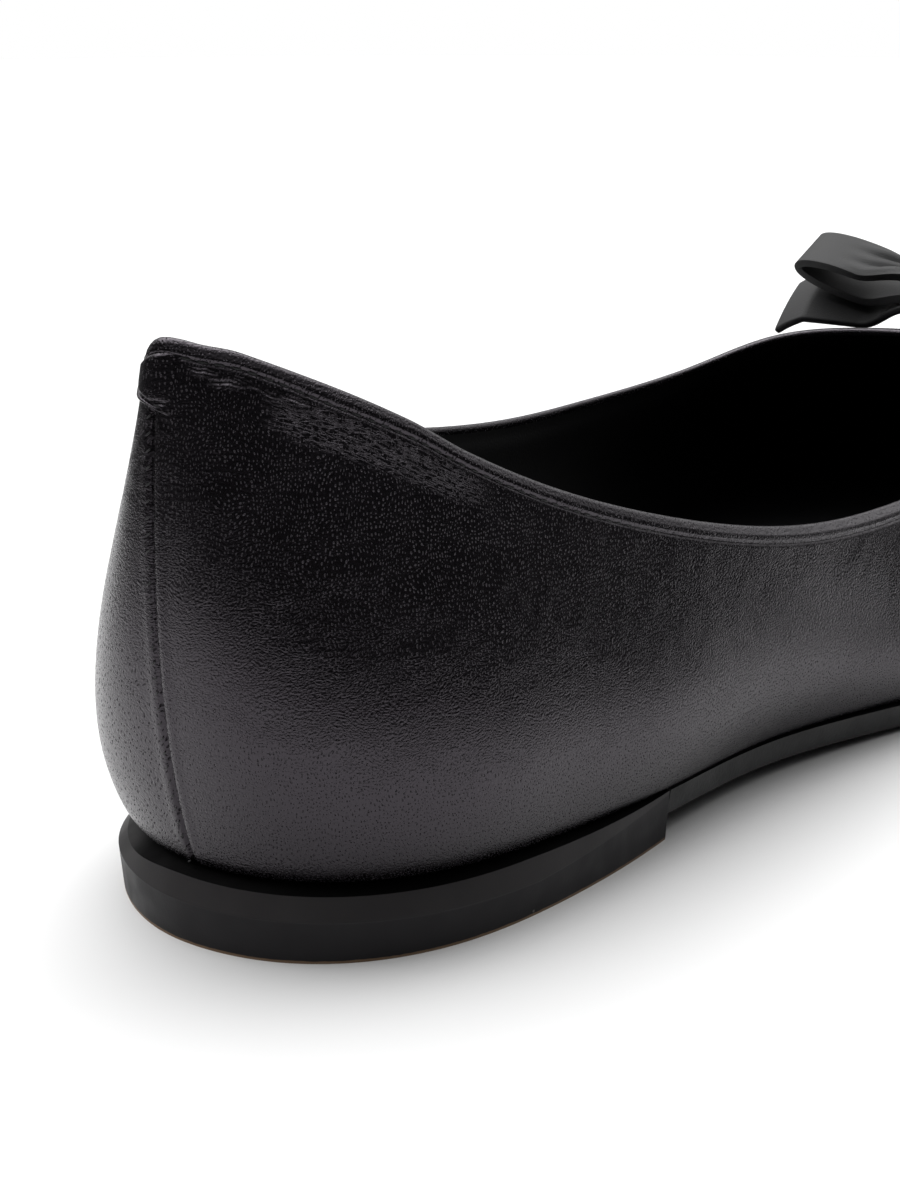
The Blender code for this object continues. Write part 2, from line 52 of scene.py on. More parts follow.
camera = bpy.data.objects.new("camera", bpy.data.cameras.new("camera"))
bpy.context.scene.collection.objects.link(camera)
camera.location = CAMERA_PLACE
camera.rotation_euler = (math.pi / 2 - VIEW_PITCH, 0.0, VIEW_HEADING)
camera.data.lens = LENS
camera.data.sensor_width = 36.0
camera.data.clip_start = 0.01
bpy.context.scene.camera = camera


# Floor and light
# A sheet of white card under a wide soft light that stands a little to the shoe's inner side. Past a radius,
# and ahead on the outer side, the card's colour is painted near black for mirrored rays only: painted shade
# that stands in for a dark room, so the leather mirrors white card only close by.
FLOOR_RADIUS = 1.5
FLOOR_WHITE = (0.86, 0.86, 0.86, 1.0)
# The card's painted-shade colour, seen only in reflections; the radius and edges below say where it is
# painted.
FLOOR_PAINTED_SHADE = (0.03, 0.03, 0.03, 1.0)
PAINTED_SHADE_RADIUS = 0.235
PAINTED_SHADE_SOFTNESS = 0.03
PAINTED_SHADE_FROM = (0.3287, 0.9444, 0.0)
PAINTED_SHADE_FROM_EDGE = (-0.004, 0.034)
PAINTED_SHADE_TO = (0.7780, -0.6290, 0.0)
PAINTED_SHADE_TO_EDGE = (0.040, 0.064)
LAMP_SIDE = (-0.85, 0.53, 0.0)
LAMP_FADE = (-0.40, 0.35)
DIM_SHARE = 0.10
TOP_LIGHT = 4.8
TOP_EDGE = (0.50, 0.88)
FAR_LIGHT = 0.45
FAR_EDGE = (0.0, 0.7)
FAR_RISE = (0.10, 0.45)
FAR_SHARES = (0.5, 2.8)
ROOM_LIGHT = 0.016
bpy.context.scene.view_settings.view_transform = "Standard"


def in_scene(name, data):
    made = bpy.data.objects.new(name, data)
    bpy.context.scene.collection.objects.link(made)
    return made


def add_node(tree, kind, inputs=None, **settings):
    """A node with its settings; each input is a constant or another node's socket."""
    made = tree.nodes.new(kind)
    for name, value in settings.items():
        setattr(made, name, value)
    for name, value in (inputs or {}).items():
        if isinstance(value, bpy.types.NodeSocket):
            tree.links.new(value, made.inputs[name])
        else:
            made.inputs[name].default_value = value
    return made


def output_of(tree, kind, inputs=None, **settings):
    """The first output of a new node."""
    return add_node(tree, kind, inputs, **settings).outputs[0]


def maths(tree, operation, *values):
    return output_of(tree, "ShaderNodeMath", dict(enumerate(values)), operation=operation)


def times(tree, first, second):
    return maths(tree, "MULTIPLY", first, second)


def plus(tree, first, second):
    return maths(tree, "ADD", first, second)


def between(tree, value, start, end, low=0.0, high=1.0):
    """Rises softly from low to high as the value goes from start to end."""
    inputs = {"Value": value, "From Min": start, "From Max": end, "To Min": low, "To Max": high}
    return output_of(tree, "ShaderNodeMapRange", inputs, interpolation_type="SMOOTHSTEP")


def mixed_value(tree, share, first, second):
    return output_of(tree, "ShaderNodeMix", {0: share, 2: first, 3: second}, data_type="FLOAT")


def mixed_colour(tree, share, first, second):
    return add_node(tree, "ShaderNodeMix", {0: share, 6: first, 7: second}, data_type="RGBA").outputs[2]


def parts_of(tree, vector):
    """A vector's three parts, by the names X, Y and Z."""
    return add_node(tree, "ShaderNodeSeparateXYZ", {0: vector}).outputs


def along_way(tree, vector, way):
    """How far a vector reaches along a direction."""
    dot = add_node(tree, "ShaderNodeVectorMath", {0: vector, 1: way}, operation="DOT_PRODUCT")
    return dot.outputs["Value"]


def object_place(tree):
    return add_node(tree, "ShaderNodeTexCoord").outputs["Object"]


def new_material(name, colour, roughness, **sockets):
    """A Principled material; sockets are its other constants, named with _ for a space."""
    material = bpy.data.materials.new(name)
    material.use_nodes = True
    shader = material.node_tree.nodes["Principled BSDF"]
    shader.inputs["Base Color"].default_value = (*colour, 1.0)
    shader.inputs["Roughness"].default_value = roughness
    for socket, value in sockets.items():
        shader.inputs[socket.replace("_", " ")].default_value = value
    return material, material.node_tree, shader


def light_the_room():
    world = bpy.data.worlds.new("studio")
    bpy.context.scene.world = world
    world.use_nodes = True
    tree = world.node_tree
    tree.nodes.clear()
    where = add_node(tree, "ShaderNodeTexCoord").outputs["Generated"]
    height = parts_of(tree, where)["Z"]
    facing = along_way(tree, where, (-math.sin(VIEW_HEADING), math.cos(VIEW_HEADING), 0.0))
    lamp = along_way(tree, where, LAMP_SIDE)
    top = times(tree, between(tree, height, *TOP_EDGE, 0.0, TOP_LIGHT),
                between(tree, lamp, *LAMP_FADE, DIM_SHARE, 1.0))
    far = times(tree, between(tree, facing, *FAR_EDGE, 0.0, FAR_LIGHT),
                between(tree, height, *FAR_RISE, *FAR_SHARES))
    light = plus(tree, maths(tree, "MAXIMUM", top, far), ROOM_LIGHT)
    seen = add_node(tree, "ShaderNodeLightPath").outputs["Is Camera Ray"]
    back = add_node(tree, "ShaderNodeBackground",
                    {"Color": (1.0, 1.0, 1.0, 1.0), "Strength": mixed_value(tree, seen, light, 1.0)})
    tree.links.new(back.outputs[0], add_node(tree, "ShaderNodeOutputWorld").inputs["Surface"])


def lay_floor():
    work = bmesh.new()
    bmesh.ops.create_circle(work, cap_ends=True, segments=96, radius=FLOOR_RADIUS)
    mesh = bpy.data.meshes.new("floor")
    work.to_mesh(mesh)
    work.free()
    floor = in_scene("floor", mesh)
    material, tree, shader = new_material("white card", FLOOR_WHITE[:3], 0.7, Specular_IOR_Level=0.2)
    place = object_place(tree)
    away = add_node(tree, "ShaderNodeVectorMath", {0: place}, operation="LENGTH").outputs["Value"]
    front = times(tree, between(tree, along_way(tree, place, PAINTED_SHADE_FROM), *PAINTED_SHADE_FROM_EDGE),
                  between(tree, along_way(tree, place, PAINTED_SHADE_TO), *PAINTED_SHADE_TO_EDGE))
    past = between(tree, away, PAINTED_SHADE_RADIUS - PAINTED_SHADE_SOFTNESS, PAINTED_SHADE_RADIUS + PAINTED_SHADE_SOFTNESS)
    painted_shade = maths(tree, "MAXIMUM", past, front)
    mirrored = add_node(tree, "ShaderNodeLightPath").outputs["Is Glossy Ray"]
    # Painted shade: mirrored rays see the card near black past the radius and ahead on the outer side.
    shade = mixed_colour(tree, times(tree, painted_shade, mirrored), FLOOR_WHITE, FLOOR_PAINTED_SHADE)
    tree.links.new(shade, shader.inputs["Base Color"])
    mesh.materials.append(material)


light_the_room()
lay_floor()


# Upper
# Goatskin pulled over the last and glued under: one wall from the feather edge to the folded topline,
# joined by a seam down the back. The last's sizes and its stations are the frame's own.
LENGTH = 0.2500
HEEL_WIDTH = 0.0500
WAIST_WIDTH = 0.0512
WAIST_SHIFT = 0.0016
BALL_WIDTH = 0.0826
TOP_WIDTH = 0.0602
THROAT_AT = 0.1760
BACK_HEIGHT = 0.0645
OUTER_HEIGHT = 0.0312
INNER_HEIGHT = 0.0345
THROAT_HEIGHT = 0.0405
SOLE_THICKNESS = 0.0032
SEAT_BACK_HEIGHT = 0.0081
SEAT_FRONT_HEIGHT = 0.0063
BREAST_AT = 0.0552
SEAT_SLOPE = (SEAT_FRONT_HEIGHT - SEAT_BACK_HEIGHT) / BREAST_AT
FLAT_START = 0.1420
FLAT_END = 0.1740
TOE_SPRING = 0.0060
WALL = 0.0020
GAP = 0.0003

# Stations go round from the back seam along the outer side to the toe and home along the inner side.
# Shares: sole_x of half the width named in place, sole_y of LENGTH, top_x of half TOP_WIDTH, top_y of
# THROAT_AT, to_back and to_throat of the rise from the side's own height.
Station = namedtuple("Station", "place sole_x sole_y top_x top_y to_back to_throat profile")
STATIONS = [Station(*numbers) for numbers in (
    ("heel", 0.00, 0.0155, 0.00, 0.0080, 1.00, 0.00, "back"),
    ("heel", 0.48, 0.0290, 0.21, 0.0285, 0.96, 0.00, "corner"),
    ("heel", 0.80, 0.0640, 0.45, 0.0890, 0.80, 0.00, "seat"),
    ("heel", 1.00, 0.1320, 0.69, 0.1780, 0.53, 0.00, "side"),
    ("heel", 1.07, 0.2200, 0.87, 0.2980, 0.27, 0.00, "breast"),
    ("waist", 1.00, 0.3120, 0.97, 0.4380, 0.08, 0.00, "waist"),
    ("ball", 0.80, 0.4200, 1.00, 0.590, 0.00, 0.00, "flare"),
    ("ball", 1.00, 0.6000, 0.94, 0.784, 0.00, 0.18, "ball"),
    ("ball", 0.93, 0.7560, 0.68, 0.925, 0.00, 0.68, "toe_side"),
    ("ball", 0.56, 0.9140, 0.32, 0.988, 0.00, 0.96, "toe"),
    ("ball", -0.10, 0.9940, -0.03, 1.000, 0.00, 1.00, "toe"),
    ("ball", -0.68, 0.9200, -0.38, 0.986, 0.00, 0.95, "toe"),
    ("ball", -0.97, 0.7900, -0.72, 0.920, 0.00, 0.80, "toe_side"),
    ("ball", -0.97, 0.6600, -0.90, 0.815, 0.00, 0.25, "ball"),
    ("ball", -0.79, 0.5300, -0.98, 0.680, 0.00, 0.02, "flare"),
    ("waist", -1.02, 0.4000, -1.00, 0.550, 0.02, 0.00, "waist"),
    ("waist", -1.00, 0.3050, -0.96, 0.430, 0.12, 0.00, "waist"),
    ("heel", -1.03, 0.2200, -0.87, 0.2980, 0.28, 0.00, "breast"),
    ("heel", -1.00, 0.1320, -0.66, 0.1780, 0.51, 0.00, "side"),
    ("heel", -0.80, 0.0640, -0.40, 0.0890, 0.76, 0.00, "seat"),
    ("heel", -0.48, 0.0290, -0.135, 0.0250, 0.905, 0.00, "corner"),
)]
TOE_STATION = 10

# How the wall leaves the sole and meets the topline, as shares of the straight run between them
Profile = namedtuple("Profile", "low_out low_up high_out high_down")
PROFILES = {
    "back": Profile(0.100, 0.30, 0.036, 0.33),
    "corner": Profile(0.130, 0.22, 0.085, 0.33),
    "seat": Profile(0.180, 0.21, 0.115, 0.33),
    "side": Profile(0.155, 0.20, 0.110, 0.33),
    "breast": Profile(0.130, 0.24, 0.060, 0.33),
    "waist": Profile(0.140, 0.30, 0.060, 0.33),
    "flare": Profile(0.130, 0.32, 0.120, 0.32),
    "ball": Profile(0.090, 0.36, 0.230, 0.26),
    "toe_side": Profile(0.060, 0.34, 0.350, 0.18),
    "toe": Profile(0.030, 0.24, 0.420, 0.10),
}

# How closely the leather is drawn: each stretch of the way round, from the back seam, and its step, then
# the rows below the rim as start, end and step down from it
Stretch = namedtuple("Stretch", "end step")
OUTER_STRETCHES = (Stretch(0.0016, 0.00012), Stretch(0.0600, 0.0005), Stretch(0.1500, 0.0008))
INNER_STRETCHES = (Stretch(0.0016, 0.00012), Stretch(0.0300, 0.0005), Stretch(0.0600, 0.0008))
LONG_STEP = 0.0017
TOP_ROWS = ((0.0004, 0.0040, 0.00014), (0.0040, 0.0075, 0.00030), (0.0075, 0.0120, 0.00045))
LOWER_ROWS = 46
LINING_ROWS = 20
CREST_ROWS = 7

# The folded topline, thinned towards its rim, and the seams
FOLD_WIDTH = 0.0007
FOLD_FRONT_WIDTH = 0.0011
FOLD_SWELL = 0.00010
RIM_WALL = 0.0014
RIM_TAPER = 0.0032
RIM_LIFT = 0.0005
RIM_LIFT_START = (0.004, 0.009)
RIM_LIFT_END = (0.028, 0.036)
RIM_LIFT_DEPTH = 0.006
STITCH_DENT = 0.00020
STITCH_DENT_WIDTH = 0.00024
STITCH_PITCH = 0.00165
SEAM_DEPTH = 0.00042
SEAM_HALF_WIDTH = 0.00022
SEAM_SWAY = 0.00008
SEAM_PILLOW = 0.00012
PILLOW_AT = 0.0009
PILLOW_HALF_WIDTH = 0.0006
TUCK = 0.00025
TUCK_HEIGHT = 0.0007

# Creases pressed into the leather by wear and lasting: places in mm along the topline from the back
# seam and down from it, length, turn from the topline in degrees, half width and depth (ridges below 0)
Crease = namedtuple("Crease", "along down length turn width depth")
CREASES = [Crease(*numbers) for numbers in (
    (5.0, 1.5, 2.6, 4, 0.17, 0.24),
    (7.7, 2.2, 3.2, -6, 0.18, 0.26),
    (9.2, 1.65, 2.0, 8, 0.16, 0.22),
    (11.7, 2.0, 2.2, 16, 0.17, 0.24),
    (15.0, 1.85, 3.8, 7, 0.18, 0.20),
    (12.6, 3.2, 2.6, 5, 0.24, 0.06),
    (16.8, 2.9, 3.2, 8, 0.24, 0.07),
    (20.2, 2.3, 3.6, 6, 0.22, 0.08),
    (22.4, 3.6, 3.2, 8, 0.26, 0.06),
    (25.0, 2.7, 3.8, 6, 0.22, 0.07),
    (28.6, 3.6, 3.6, 7, 0.26, 0.06),
    (31.0, 2.6, 3.4, 4, 0.24, 0.05),
    (1.5, 7.4, 1.8, 48, 0.26, 0.08),
    (4.6, 6.0, 3.4, 8, 0.36, 0.08),
    (-3.6, 9.0, 5.0, -18, 0.40, 0.09),
    (-6.0, 12.5, 6.0, -25, 0.50, 0.08),
    (9.0, 12.0, 13.0, 24, 1.10, 0.10),
    (24.0, 15.0, 16.0, 10, 1.40, 0.10),
    (44.0, 13.0, 14.0, -8, 1.60, 0.12),
)]
FLANK_START = (0.045, 0.075)
FLANK_END = (0.120, 0.150)
BULGE = 0.0011
BULGE_AT = 0.0080
BULGE_BELOW = 0.0060
BULGE_ABOVE = 0.0170
WAVE_HEIGHT = 0.00011
WAVE_LENGTH = 0.0140


def closed_spline(knots, values):
    """A smooth closed curve through rows of values; knots has one entry more, the whole way round."""
    count = len(values)
    steps = np.diff(knots)
    matrix = np.zeros((count, count))
    right = np.zeros_like(values)
    for i in range(count):
        after = (i + 1) % count
        matrix[i, i - 1] += steps[i - 1]
        matrix[i, i] += 2 * (steps[i - 1] + steps[i])
        matrix[i, after] += steps[i]
        right[i] = 6 * ((values[after] - values[i]) / steps[i] - (values[i] - values[i - 1]) / steps[i - 1])
    bends = np.linalg.solve(matrix, right)

    def at(t):
        t = np.asarray(t, float) % knots[-1]
        i = np.clip(np.searchsorted(knots, t, side="right") - 1, 0, count - 1)
        after = (i + 1) % count
        step = steps[i][..., None]
        a = (knots[i + 1] - t)[..., None] / step
        b = 1 - a
        curve = (a**3 - a) * bends[i] + (b**3 - b) * bends[after]
        return a * values[i] + b * values[after] + curve * step**2 / 6

    return at


def station_row(station):
    """A station's sole edge, topline point and profile shares as one row of numbers."""
    width, centre = {
        "heel": (HEEL_WIDTH, 0.0),
        "waist": (WAIST_WIDTH, WAIST_SHIFT),
        "ball": (BALL_WIDTH, 0.0),
    }[station.place]
    side = OUTER_HEIGHT if station.sole_x > 0 else INNER_HEIGHT
    height = side + station.to_back * (BACK_HEIGHT - side) + station.to_throat * (THROAT_HEIGHT - side)
    return (
        centre + station.sole_x * width / 2,
        station.sole_y * LENGTH,
        station.top_x * TOP_WIDTH / 2,
        station.top_y * THROAT_AT,
        height - WALL / 2,
        *PROFILES[station.profile],
    )


ROWS = np.array([station_row(station) for station in STATIONS])
SPANS = np.linalg.norm(np.roll(ROWS[:, :2], -1, axis=0) - ROWS[:, :2], axis=1)
KNOTS = np.concatenate([[0.0], np.cumsum(SPANS)])
ROUND = KNOTS[-1]
REACH = ROUND / 2000
around = closed_spline(KNOTS, ROWS)


def seat_height(y):
    """Height of the sole's upper face at lengths from the heel."""
    y = np.asarray(y, float)
    seat = SEAT_BACK_HEIGHT + SEAT_SLOPE * y
    span = FLAT_START - BREAST_AT
    s = (y - BREAST_AT) / span
    start = 2 * s**3 - 3 * s**2 + 1
    lean = s**3 - 2 * s**2 + s
    waist = start * SEAT_FRONT_HEIGHT + lean * span * SEAT_SLOPE + (1 - start) * SOLE_THICKNESS
    front = SOLE_THICKNESS + TOE_SPRING * np.maximum(0.0, (y - FLAT_END) / (LENGTH - FLAT_END)) ** 2
    return np.where(y <= BREAST_AT, seat, np.where(y < FLAT_START, waist, front))


def unit(vectors):
    return vectors / np.linalg.norm(vectors, axis=-1, keepdims=True)


def sole_edge(t):
    """Points of the sole's edge and the way out from them, both seen from above."""
    along = around(t + REACH)[..., :2] - around(t - REACH)[..., :2]
    out = unit(np.stack([along[..., 1], -along[..., 0]], axis=-1))
    return around(t)[..., :2], out


def wall(t, v):
    """Points of the upper's outer face; v runs from 0 at the sole to 1 at the topline."""
    row = around(t)
    _, out = sole_edge(t)
    foot = np.concatenate([row[..., :2], (seat_height(row[..., 1]) + GAP)[..., None]], axis=-1)
    top = row[..., 2:5]
    run = np.linalg.norm(top - foot, axis=-1)[..., None]
    low_out, low_up, high_out, high_down = np.moveaxis(row[..., 5:9] * run, -1, 0)
    low = foot + np.concatenate([out * low_out[..., None], low_up[..., None]], axis=-1)
    high = top + np.concatenate([out * high_out[..., None], -high_down[..., None]], axis=-1)
    v = np.asarray(v, float)[..., None]
    w = 1 - v
    return w**3 * foot + 3 * w**2 * v * low + 3 * w * v**2 * high + v**3 * top


def wall_out(t, v):
    """The way out from the wall's face."""
    low, high = np.maximum(v - 0.002, 0.0), np.minimum(v + 0.002, 1.0)
    along = wall(t + REACH, v) - wall(t - REACH, v)
    return unit(np.cross(along, wall(t, high) - wall(t, low)))


def in_frame(points):
    """From lengths counted from the back of the counter to the frame's own origin."""
    return np.asarray(points, float) - (0.0, LENGTH / 2, 0.0)


def climb_table(t):
    """Distance up the wall from the sole at each of a column's fine shares, for one t or several."""
    shares = np.linspace(0.0, 1.0, 201)
    t = np.atleast_1d(t)
    trace = wall(t[None, :], shares[:, None])
    steps = np.linalg.norm(np.diff(trace, axis=0), axis=2)
    climb = np.vstack([np.zeros(len(t)), np.cumsum(steps, axis=0)])
    return shares, climb


def share_down(t, down):
    """The share v of the wall that lies a distance down from the topline, row by row of down."""
    shares, climb = climb_table(t)
    down = np.broadcast_to(down, (len(down), climb.shape[1]))
    v = np.empty(down.shape)
    for column in range(climb.shape[1]):
        v[:, column] = np.interp(climb[-1, column] - down[:, column], climb[:, column], shares)
    return v


def hump(distance, half_width):
    return np.exp(-((distance / half_width) ** 2))


def soft_step(value, start, end):
    s = np.clip((value - start) / (end - start), 0.0, 1.0)
    return s * s * (3 - 2 * s)


def grid_faces(rows, columns, wrap_rows=False, wrap_columns=False):
    faces = []
    for i in range(rows if wrap_rows else rows - 1):
        for j in range(columns if wrap_columns else columns - 1):
            a = i * columns + j
            b = i * columns + (j + 1) % columns
            c = ((i + 1) % rows) * columns + (j + 1) % columns
            d = ((i + 1) % rows) * columns + j
            faces.append((a, b, c, d))
    return faces


def new_piece(name, points, faces, material, replaced=(), sharp=None):
    """A welded, smooth mesh that rides on the shoe, with its faces turned outwards."""
    mesh = bpy.data.meshes.new(name)
    mesh.from_pydata(np.asarray(points, float).reshape(-1, 3).tolist(), [], faces)
    work = bmesh.new()
    work.from_mesh(mesh)
    bmesh.ops.recalc_face_normals(work, faces=work.faces)
    work.to_mesh(mesh)
    work.free()
    mesh.materials.append(material)
    mesh.shade_smooth()
    if sharp is not None:
        mesh.set_sharp_from_angle(angle=math.radians(sharp))
    piece = in_scene(name, mesh)
    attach(piece, "root")
    if replaced:
        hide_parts(*replaced)
    return piece


def stretch_places(stretches):
    places = [0.0]
    for stretch in stretches:
        places += list(np.arange(places[-1] + stretch.step, stretch.end, stretch.step))
    return places


def columns_round():
    """Places round the shoe, closest together at the back seam."""
    outer = stretch_places(OUTER_STRETCHES)
    home = ROUND - np.array(stretch_places(INNER_STRETCHES)[1:])[::-1]
    middle = np.linspace(outer[-1], home[0], int((home[0] - outer[-1]) / LONG_STEP))[1:-1]
    return np.concatenate([outer, middle, home])


def along_rows(points):
    """Distance from the back seam along each row: outwards positive, on the inner side negative."""
    steps = np.linalg.norm(np.roll(points, -1, axis=1) - points, axis=2)
    forward = np.cumsum(steps, axis=1) - steps
    whole = steps.sum(axis=1, keepdims=True)
    toe = int(np.searchsorted(COLUMNS, KNOTS[TOE_STATION]))
    return np.where(np.arange(points.shape[1]) <= toe, forward, forward - whole)


def fold_width(along):
    """How far under the rim the row of stitching runs."""
    return FOLD_WIDTH + (FOLD_FRONT_WIDTH - FOLD_WIDTH) * soft_step(np.abs(along), 0.010, 0.020)


def rim_lift(along, down):
    """How far wear has pulled the outer side's rim up behind the arch."""
    reach = soft_step(along, *RIM_LIFT_START) * (1 - soft_step(along, *RIM_LIFT_END))
    return RIM_LIFT * reach * (1 - soft_step(down, 0.0, RIM_LIFT_DEPTH))


def crease_relief(along, down):
    """Soft troughs of the creases table, each a little wavy and with a low ridge under it."""
    relief = np.zeros_like(along)
    for i, crease in enumerate(CREASES):
        turn = math.radians(crease.turn)
        x = along * 1000 - crease.along
        y = down * 1000 - crease.down
        lengthwise = x * math.cos(turn) + y * math.sin(turn)
        across = y * math.cos(turn) - x * math.sin(turn)
        wave = 0.5 * np.sin(lengthwise * 1.9 + i * 1.7) + 0.3 * np.sin(lengthwise * 4.3 + i)
        across = across + crease.width * wave
        profile = hump(across, crease.width) - 0.6 * hump(across - 1.7 * crease.width, crease.width)
        relief -= crease.depth / 1000 * profile * hump(lengthwise, crease.length / 2)
    return relief


def leather_relief(points, along, down, up):
    """How far the leather stands proud of the last's smooth face."""
    fold = fold_width(along)
    relief = FOLD_SWELL * soft_step(fold - down, 0.0, 0.0004) * soft_step(down, 0.0, 0.0002)
    relief -= STITCH_DENT * hump(down - fold, STITCH_DENT_WIDTH)
    below_lap = soft_step(down, LAP_DROP - 0.0010, LAP_DROP + 0.0006)
    beat = 0.5 + 0.5 * np.cos(2 * math.pi * down / STITCH_PITCH)
    pillow = hump(np.abs(along) - PILLOW_AT, PILLOW_HALF_WIDTH) * (0.55 + 0.45 * beat)
    sway = SEAM_SWAY * np.sin(2 * math.pi * down / STITCH_PITCH) * hump(along, 0.002)
    seam = SEAM_PILLOW * pillow - SEAM_DEPTH * hump(along - sway, SEAM_HALF_WIDTH)
    relief += below_lap * seam
    relief -= TUCK * np.exp(-up / TUCK_HEIGHT)
    flank = soft_step(along, *FLANK_START) * (1 - soft_step(along, *FLANK_END))
    relief += flank * BULGE * hump(up - BULGE_AT, np.where(up > BULGE_AT, BULGE_ABOVE, BULGE_BELOW))
    relief += crease_relief(along, down)
    waves = [noise.noise(Vector(p) / WAVE_LENGTH) for p in points.reshape(-1, 3)]
    edge = soft_step(down, 0.002, 0.008) * soft_step(up, 0.001, 0.006)
    relief += WAVE_HEIGHT * np.array(waves).reshape(along.shape) * edge
    return relief


def outer_face():
    """The leather's rows from the topline to the sole, with where each point lies."""
    band = np.concatenate([[0.0, 0.0002], *(np.arange(*rows) for rows in TOP_ROWS)])
    _, climb = climb_table(COLUMNS)
    whole = climb[-1]
    top_rows = np.broadcast_to(band[:, None], (len(band), len(COLUMNS)))
    shares = np.linspace(0.0, 1.0, LOWER_ROWS + 1)[1:, None]
    low_rows = band[-1] + (whole - band[-1]) * (1 - (1 - shares) ** 1.25)
    down = np.vstack([top_rows, low_rows])
    v = share_down(COLUMNS, down)
    t = np.broadcast_to(COLUMNS, v.shape)
    points = wall(t, v)
    along = along_rows(points)
    relief = leather_relief(points, along, down, whole - down)
    lifted = points + rim_way(COLUMNS) * rim_lift(along, down)[..., None]
    return lifted + wall_out(t, v) * relief[..., None], along, down


def rim_way(t):
    """The way up the wall at the topline."""
    return unit(wall(t, np.ones_like(t)) - wall(t, np.full_like(t, 0.97)))


def lining_rings(t, along):
    """The lining face from the rim down to the sole, where it steps in level."""
    near = np.array([0.0, 0.0008, 0.0016, 0.0024, 0.0034])
    shares = share_down(t, near[:, None])
    rings = []
    for down, v in zip(near, shares):
        thick = RIM_WALL + (WALL - RIM_WALL) * soft_step(down, 0.0, RIM_TAPER)
        rings.append(wall(t, v) - wall_out(t, v) * thick + rim_way(t) * rim_lift(along, down)[:, None])
    for share in np.linspace(1.0, 0.0, LINING_ROWS + 1)[1:-1]:
        v = shares[-1] * share
        lift = rim_way(t) * rim_lift(along, near[-1] + 0.04 * (1 - share))[:, None]
        rings.append(wall(t, v) - wall_out(t, v) * WALL + lift)
    foot, way = wall(t, np.zeros_like(t)), sole_edge(t)[1]
    rings.append(foot - np.concatenate([way, np.zeros((len(t), 1))], axis=1) * WALL)
    return rings


def make_upper(leather, lining):
    face, along, down = outer_face()
    t = COLUMNS
    rings = [face[i] for i in reversed(range(len(face)))]
    rise = rim_way(t)
    out = wall_out(t, np.ones_like(t))
    middle = wall(t, np.ones_like(t)) - out * RIM_WALL / 2 + rise * rim_lift(along[0], 0.0)[:, None]
    for i in range(1, CREST_ROWS + 1):
        angle = math.pi * i / (CREST_ROWS + 1)
        rings.append(middle + out * math.cos(angle) * RIM_WALL / 2 + rise * math.sin(angle) * WALL / 2)
    rings += lining_rings(t, along[0])
    count = len(t)
    faces = grid_faces(len(rings), count, wrap_rows=True, wrap_columns=True)
    upper = new_piece("shoe_upper", in_frame(np.array(rings)), faces, leather, ["upper"])
    mesh = upper.data
    mesh.materials.append(lining)
    lined = (len(face) + CREST_ROWS) * count
    slots = [1 if i >= lined else 0 for i in range(len(faces))]
    mesh.polygons.foreach_set("material_index", slots)
    rest = len(rings) - len(face)
    drop = BACK_HEIGHT - wall(t, np.ones_like(t))[:, 2]
    over = -0.0003 * np.minimum(np.arange(1, rest + 1), CREST_ROWS + 1)[:, None]
    mark_leather(mesh, np.vstack([along[::-1], np.repeat(along[:1], rest, axis=0)]),
                 np.vstack([down[::-1], np.broadcast_to(over, (rest, count))]), drop)


def mark_leather(mesh, along, down, drop):
    """Leaves each point's place on the leather for the grain: along, down from the rim, down from level."""
    where = mesh.attributes.new("where", "FLOAT_VECTOR", "POINT")
    places = np.stack([np.abs(along), down, down + drop], axis=-1)
    where.data.foreach_set("vector", places.reshape(-1, 3).ravel())
    side = mesh.attributes.new("side", "FLOAT", "POINT")
    side.data.foreach_set("value", np.where(along < 0, -1.0, 1.0).ravel())


# The grain: pores in rows and a fine pebble, and where the skin slants and where it is worn
PORE_PITCH = 0.00038
ROW_PITCH = 0.00052
ROW_DRIFT = 0.0022
PORE_SIZES = (0.10, 0.15)
PORE_RIM = (0.35, 1.15)
PEBBLE = 0.00024
MOUND_SHARE = 0.32
ROUGH_SHARE = 0.44
INNER_PORE_PITCH = 0.00058
INNER_ROW_PITCH = 0.00095
INNER_SLANT = math.radians(33)
SLANT_END = (0.055, 0.085)
WORN_DOWN = (0.0014, 0.0024, 0.0038, 0.0065)
WORN_ALONG = (0.010, 0.016, 0.030, 0.040)
WRINKLE_SCALE = (620.0, 3000.0, 1.0)
WRINKLE_SLANT = math.radians(4)
WRINKLE_DEPTH = 0.00005
GRAIN_DEPTH = 0.000095
PORE_DULLNESS = 0.36
LEATHER_BLACK = (0.0034, 0.0030, 0.0036)
SHEEN_TINT = (0.98, 0.88, 1.0, 1.0)


def clouds(tree, place, scale, detail):
    inputs = {"Vector": place, "Scale": scale, "Detail": detail}
    return output_of(tree, "ShaderNodeTexNoise", inputs)


def band_mask(tree, value, start, full, fading, end):
    """1 between full and fading, and 0 before start and after end."""
    return times(tree, between(tree, value, start, full), between(tree, value, end, fading))


def scaled(tree, vector, along, across):
    """A vector with its X times along and the rest times across."""
    factors = output_of(tree, "ShaderNodeCombineXYZ", {0: along, 1: across, 2: across})
    return output_of(tree, "ShaderNodeVectorMath", {0: vector, 1: factors}, operation="MULTIPLY")


def add_relief(tree, shader, height, depth):
    bump = output_of(tree, "ShaderNodeBump", {"Distance": depth, "Height": height})
    tree.links.new(bump, shader.inputs["Normal"])


def add_sockets(group, way, **kinds):
    for name, kind in kinds.items():
        group.interface.new_socket(name.replace("_", " "), in_out=way, socket_type="NodeSocket" + kind)


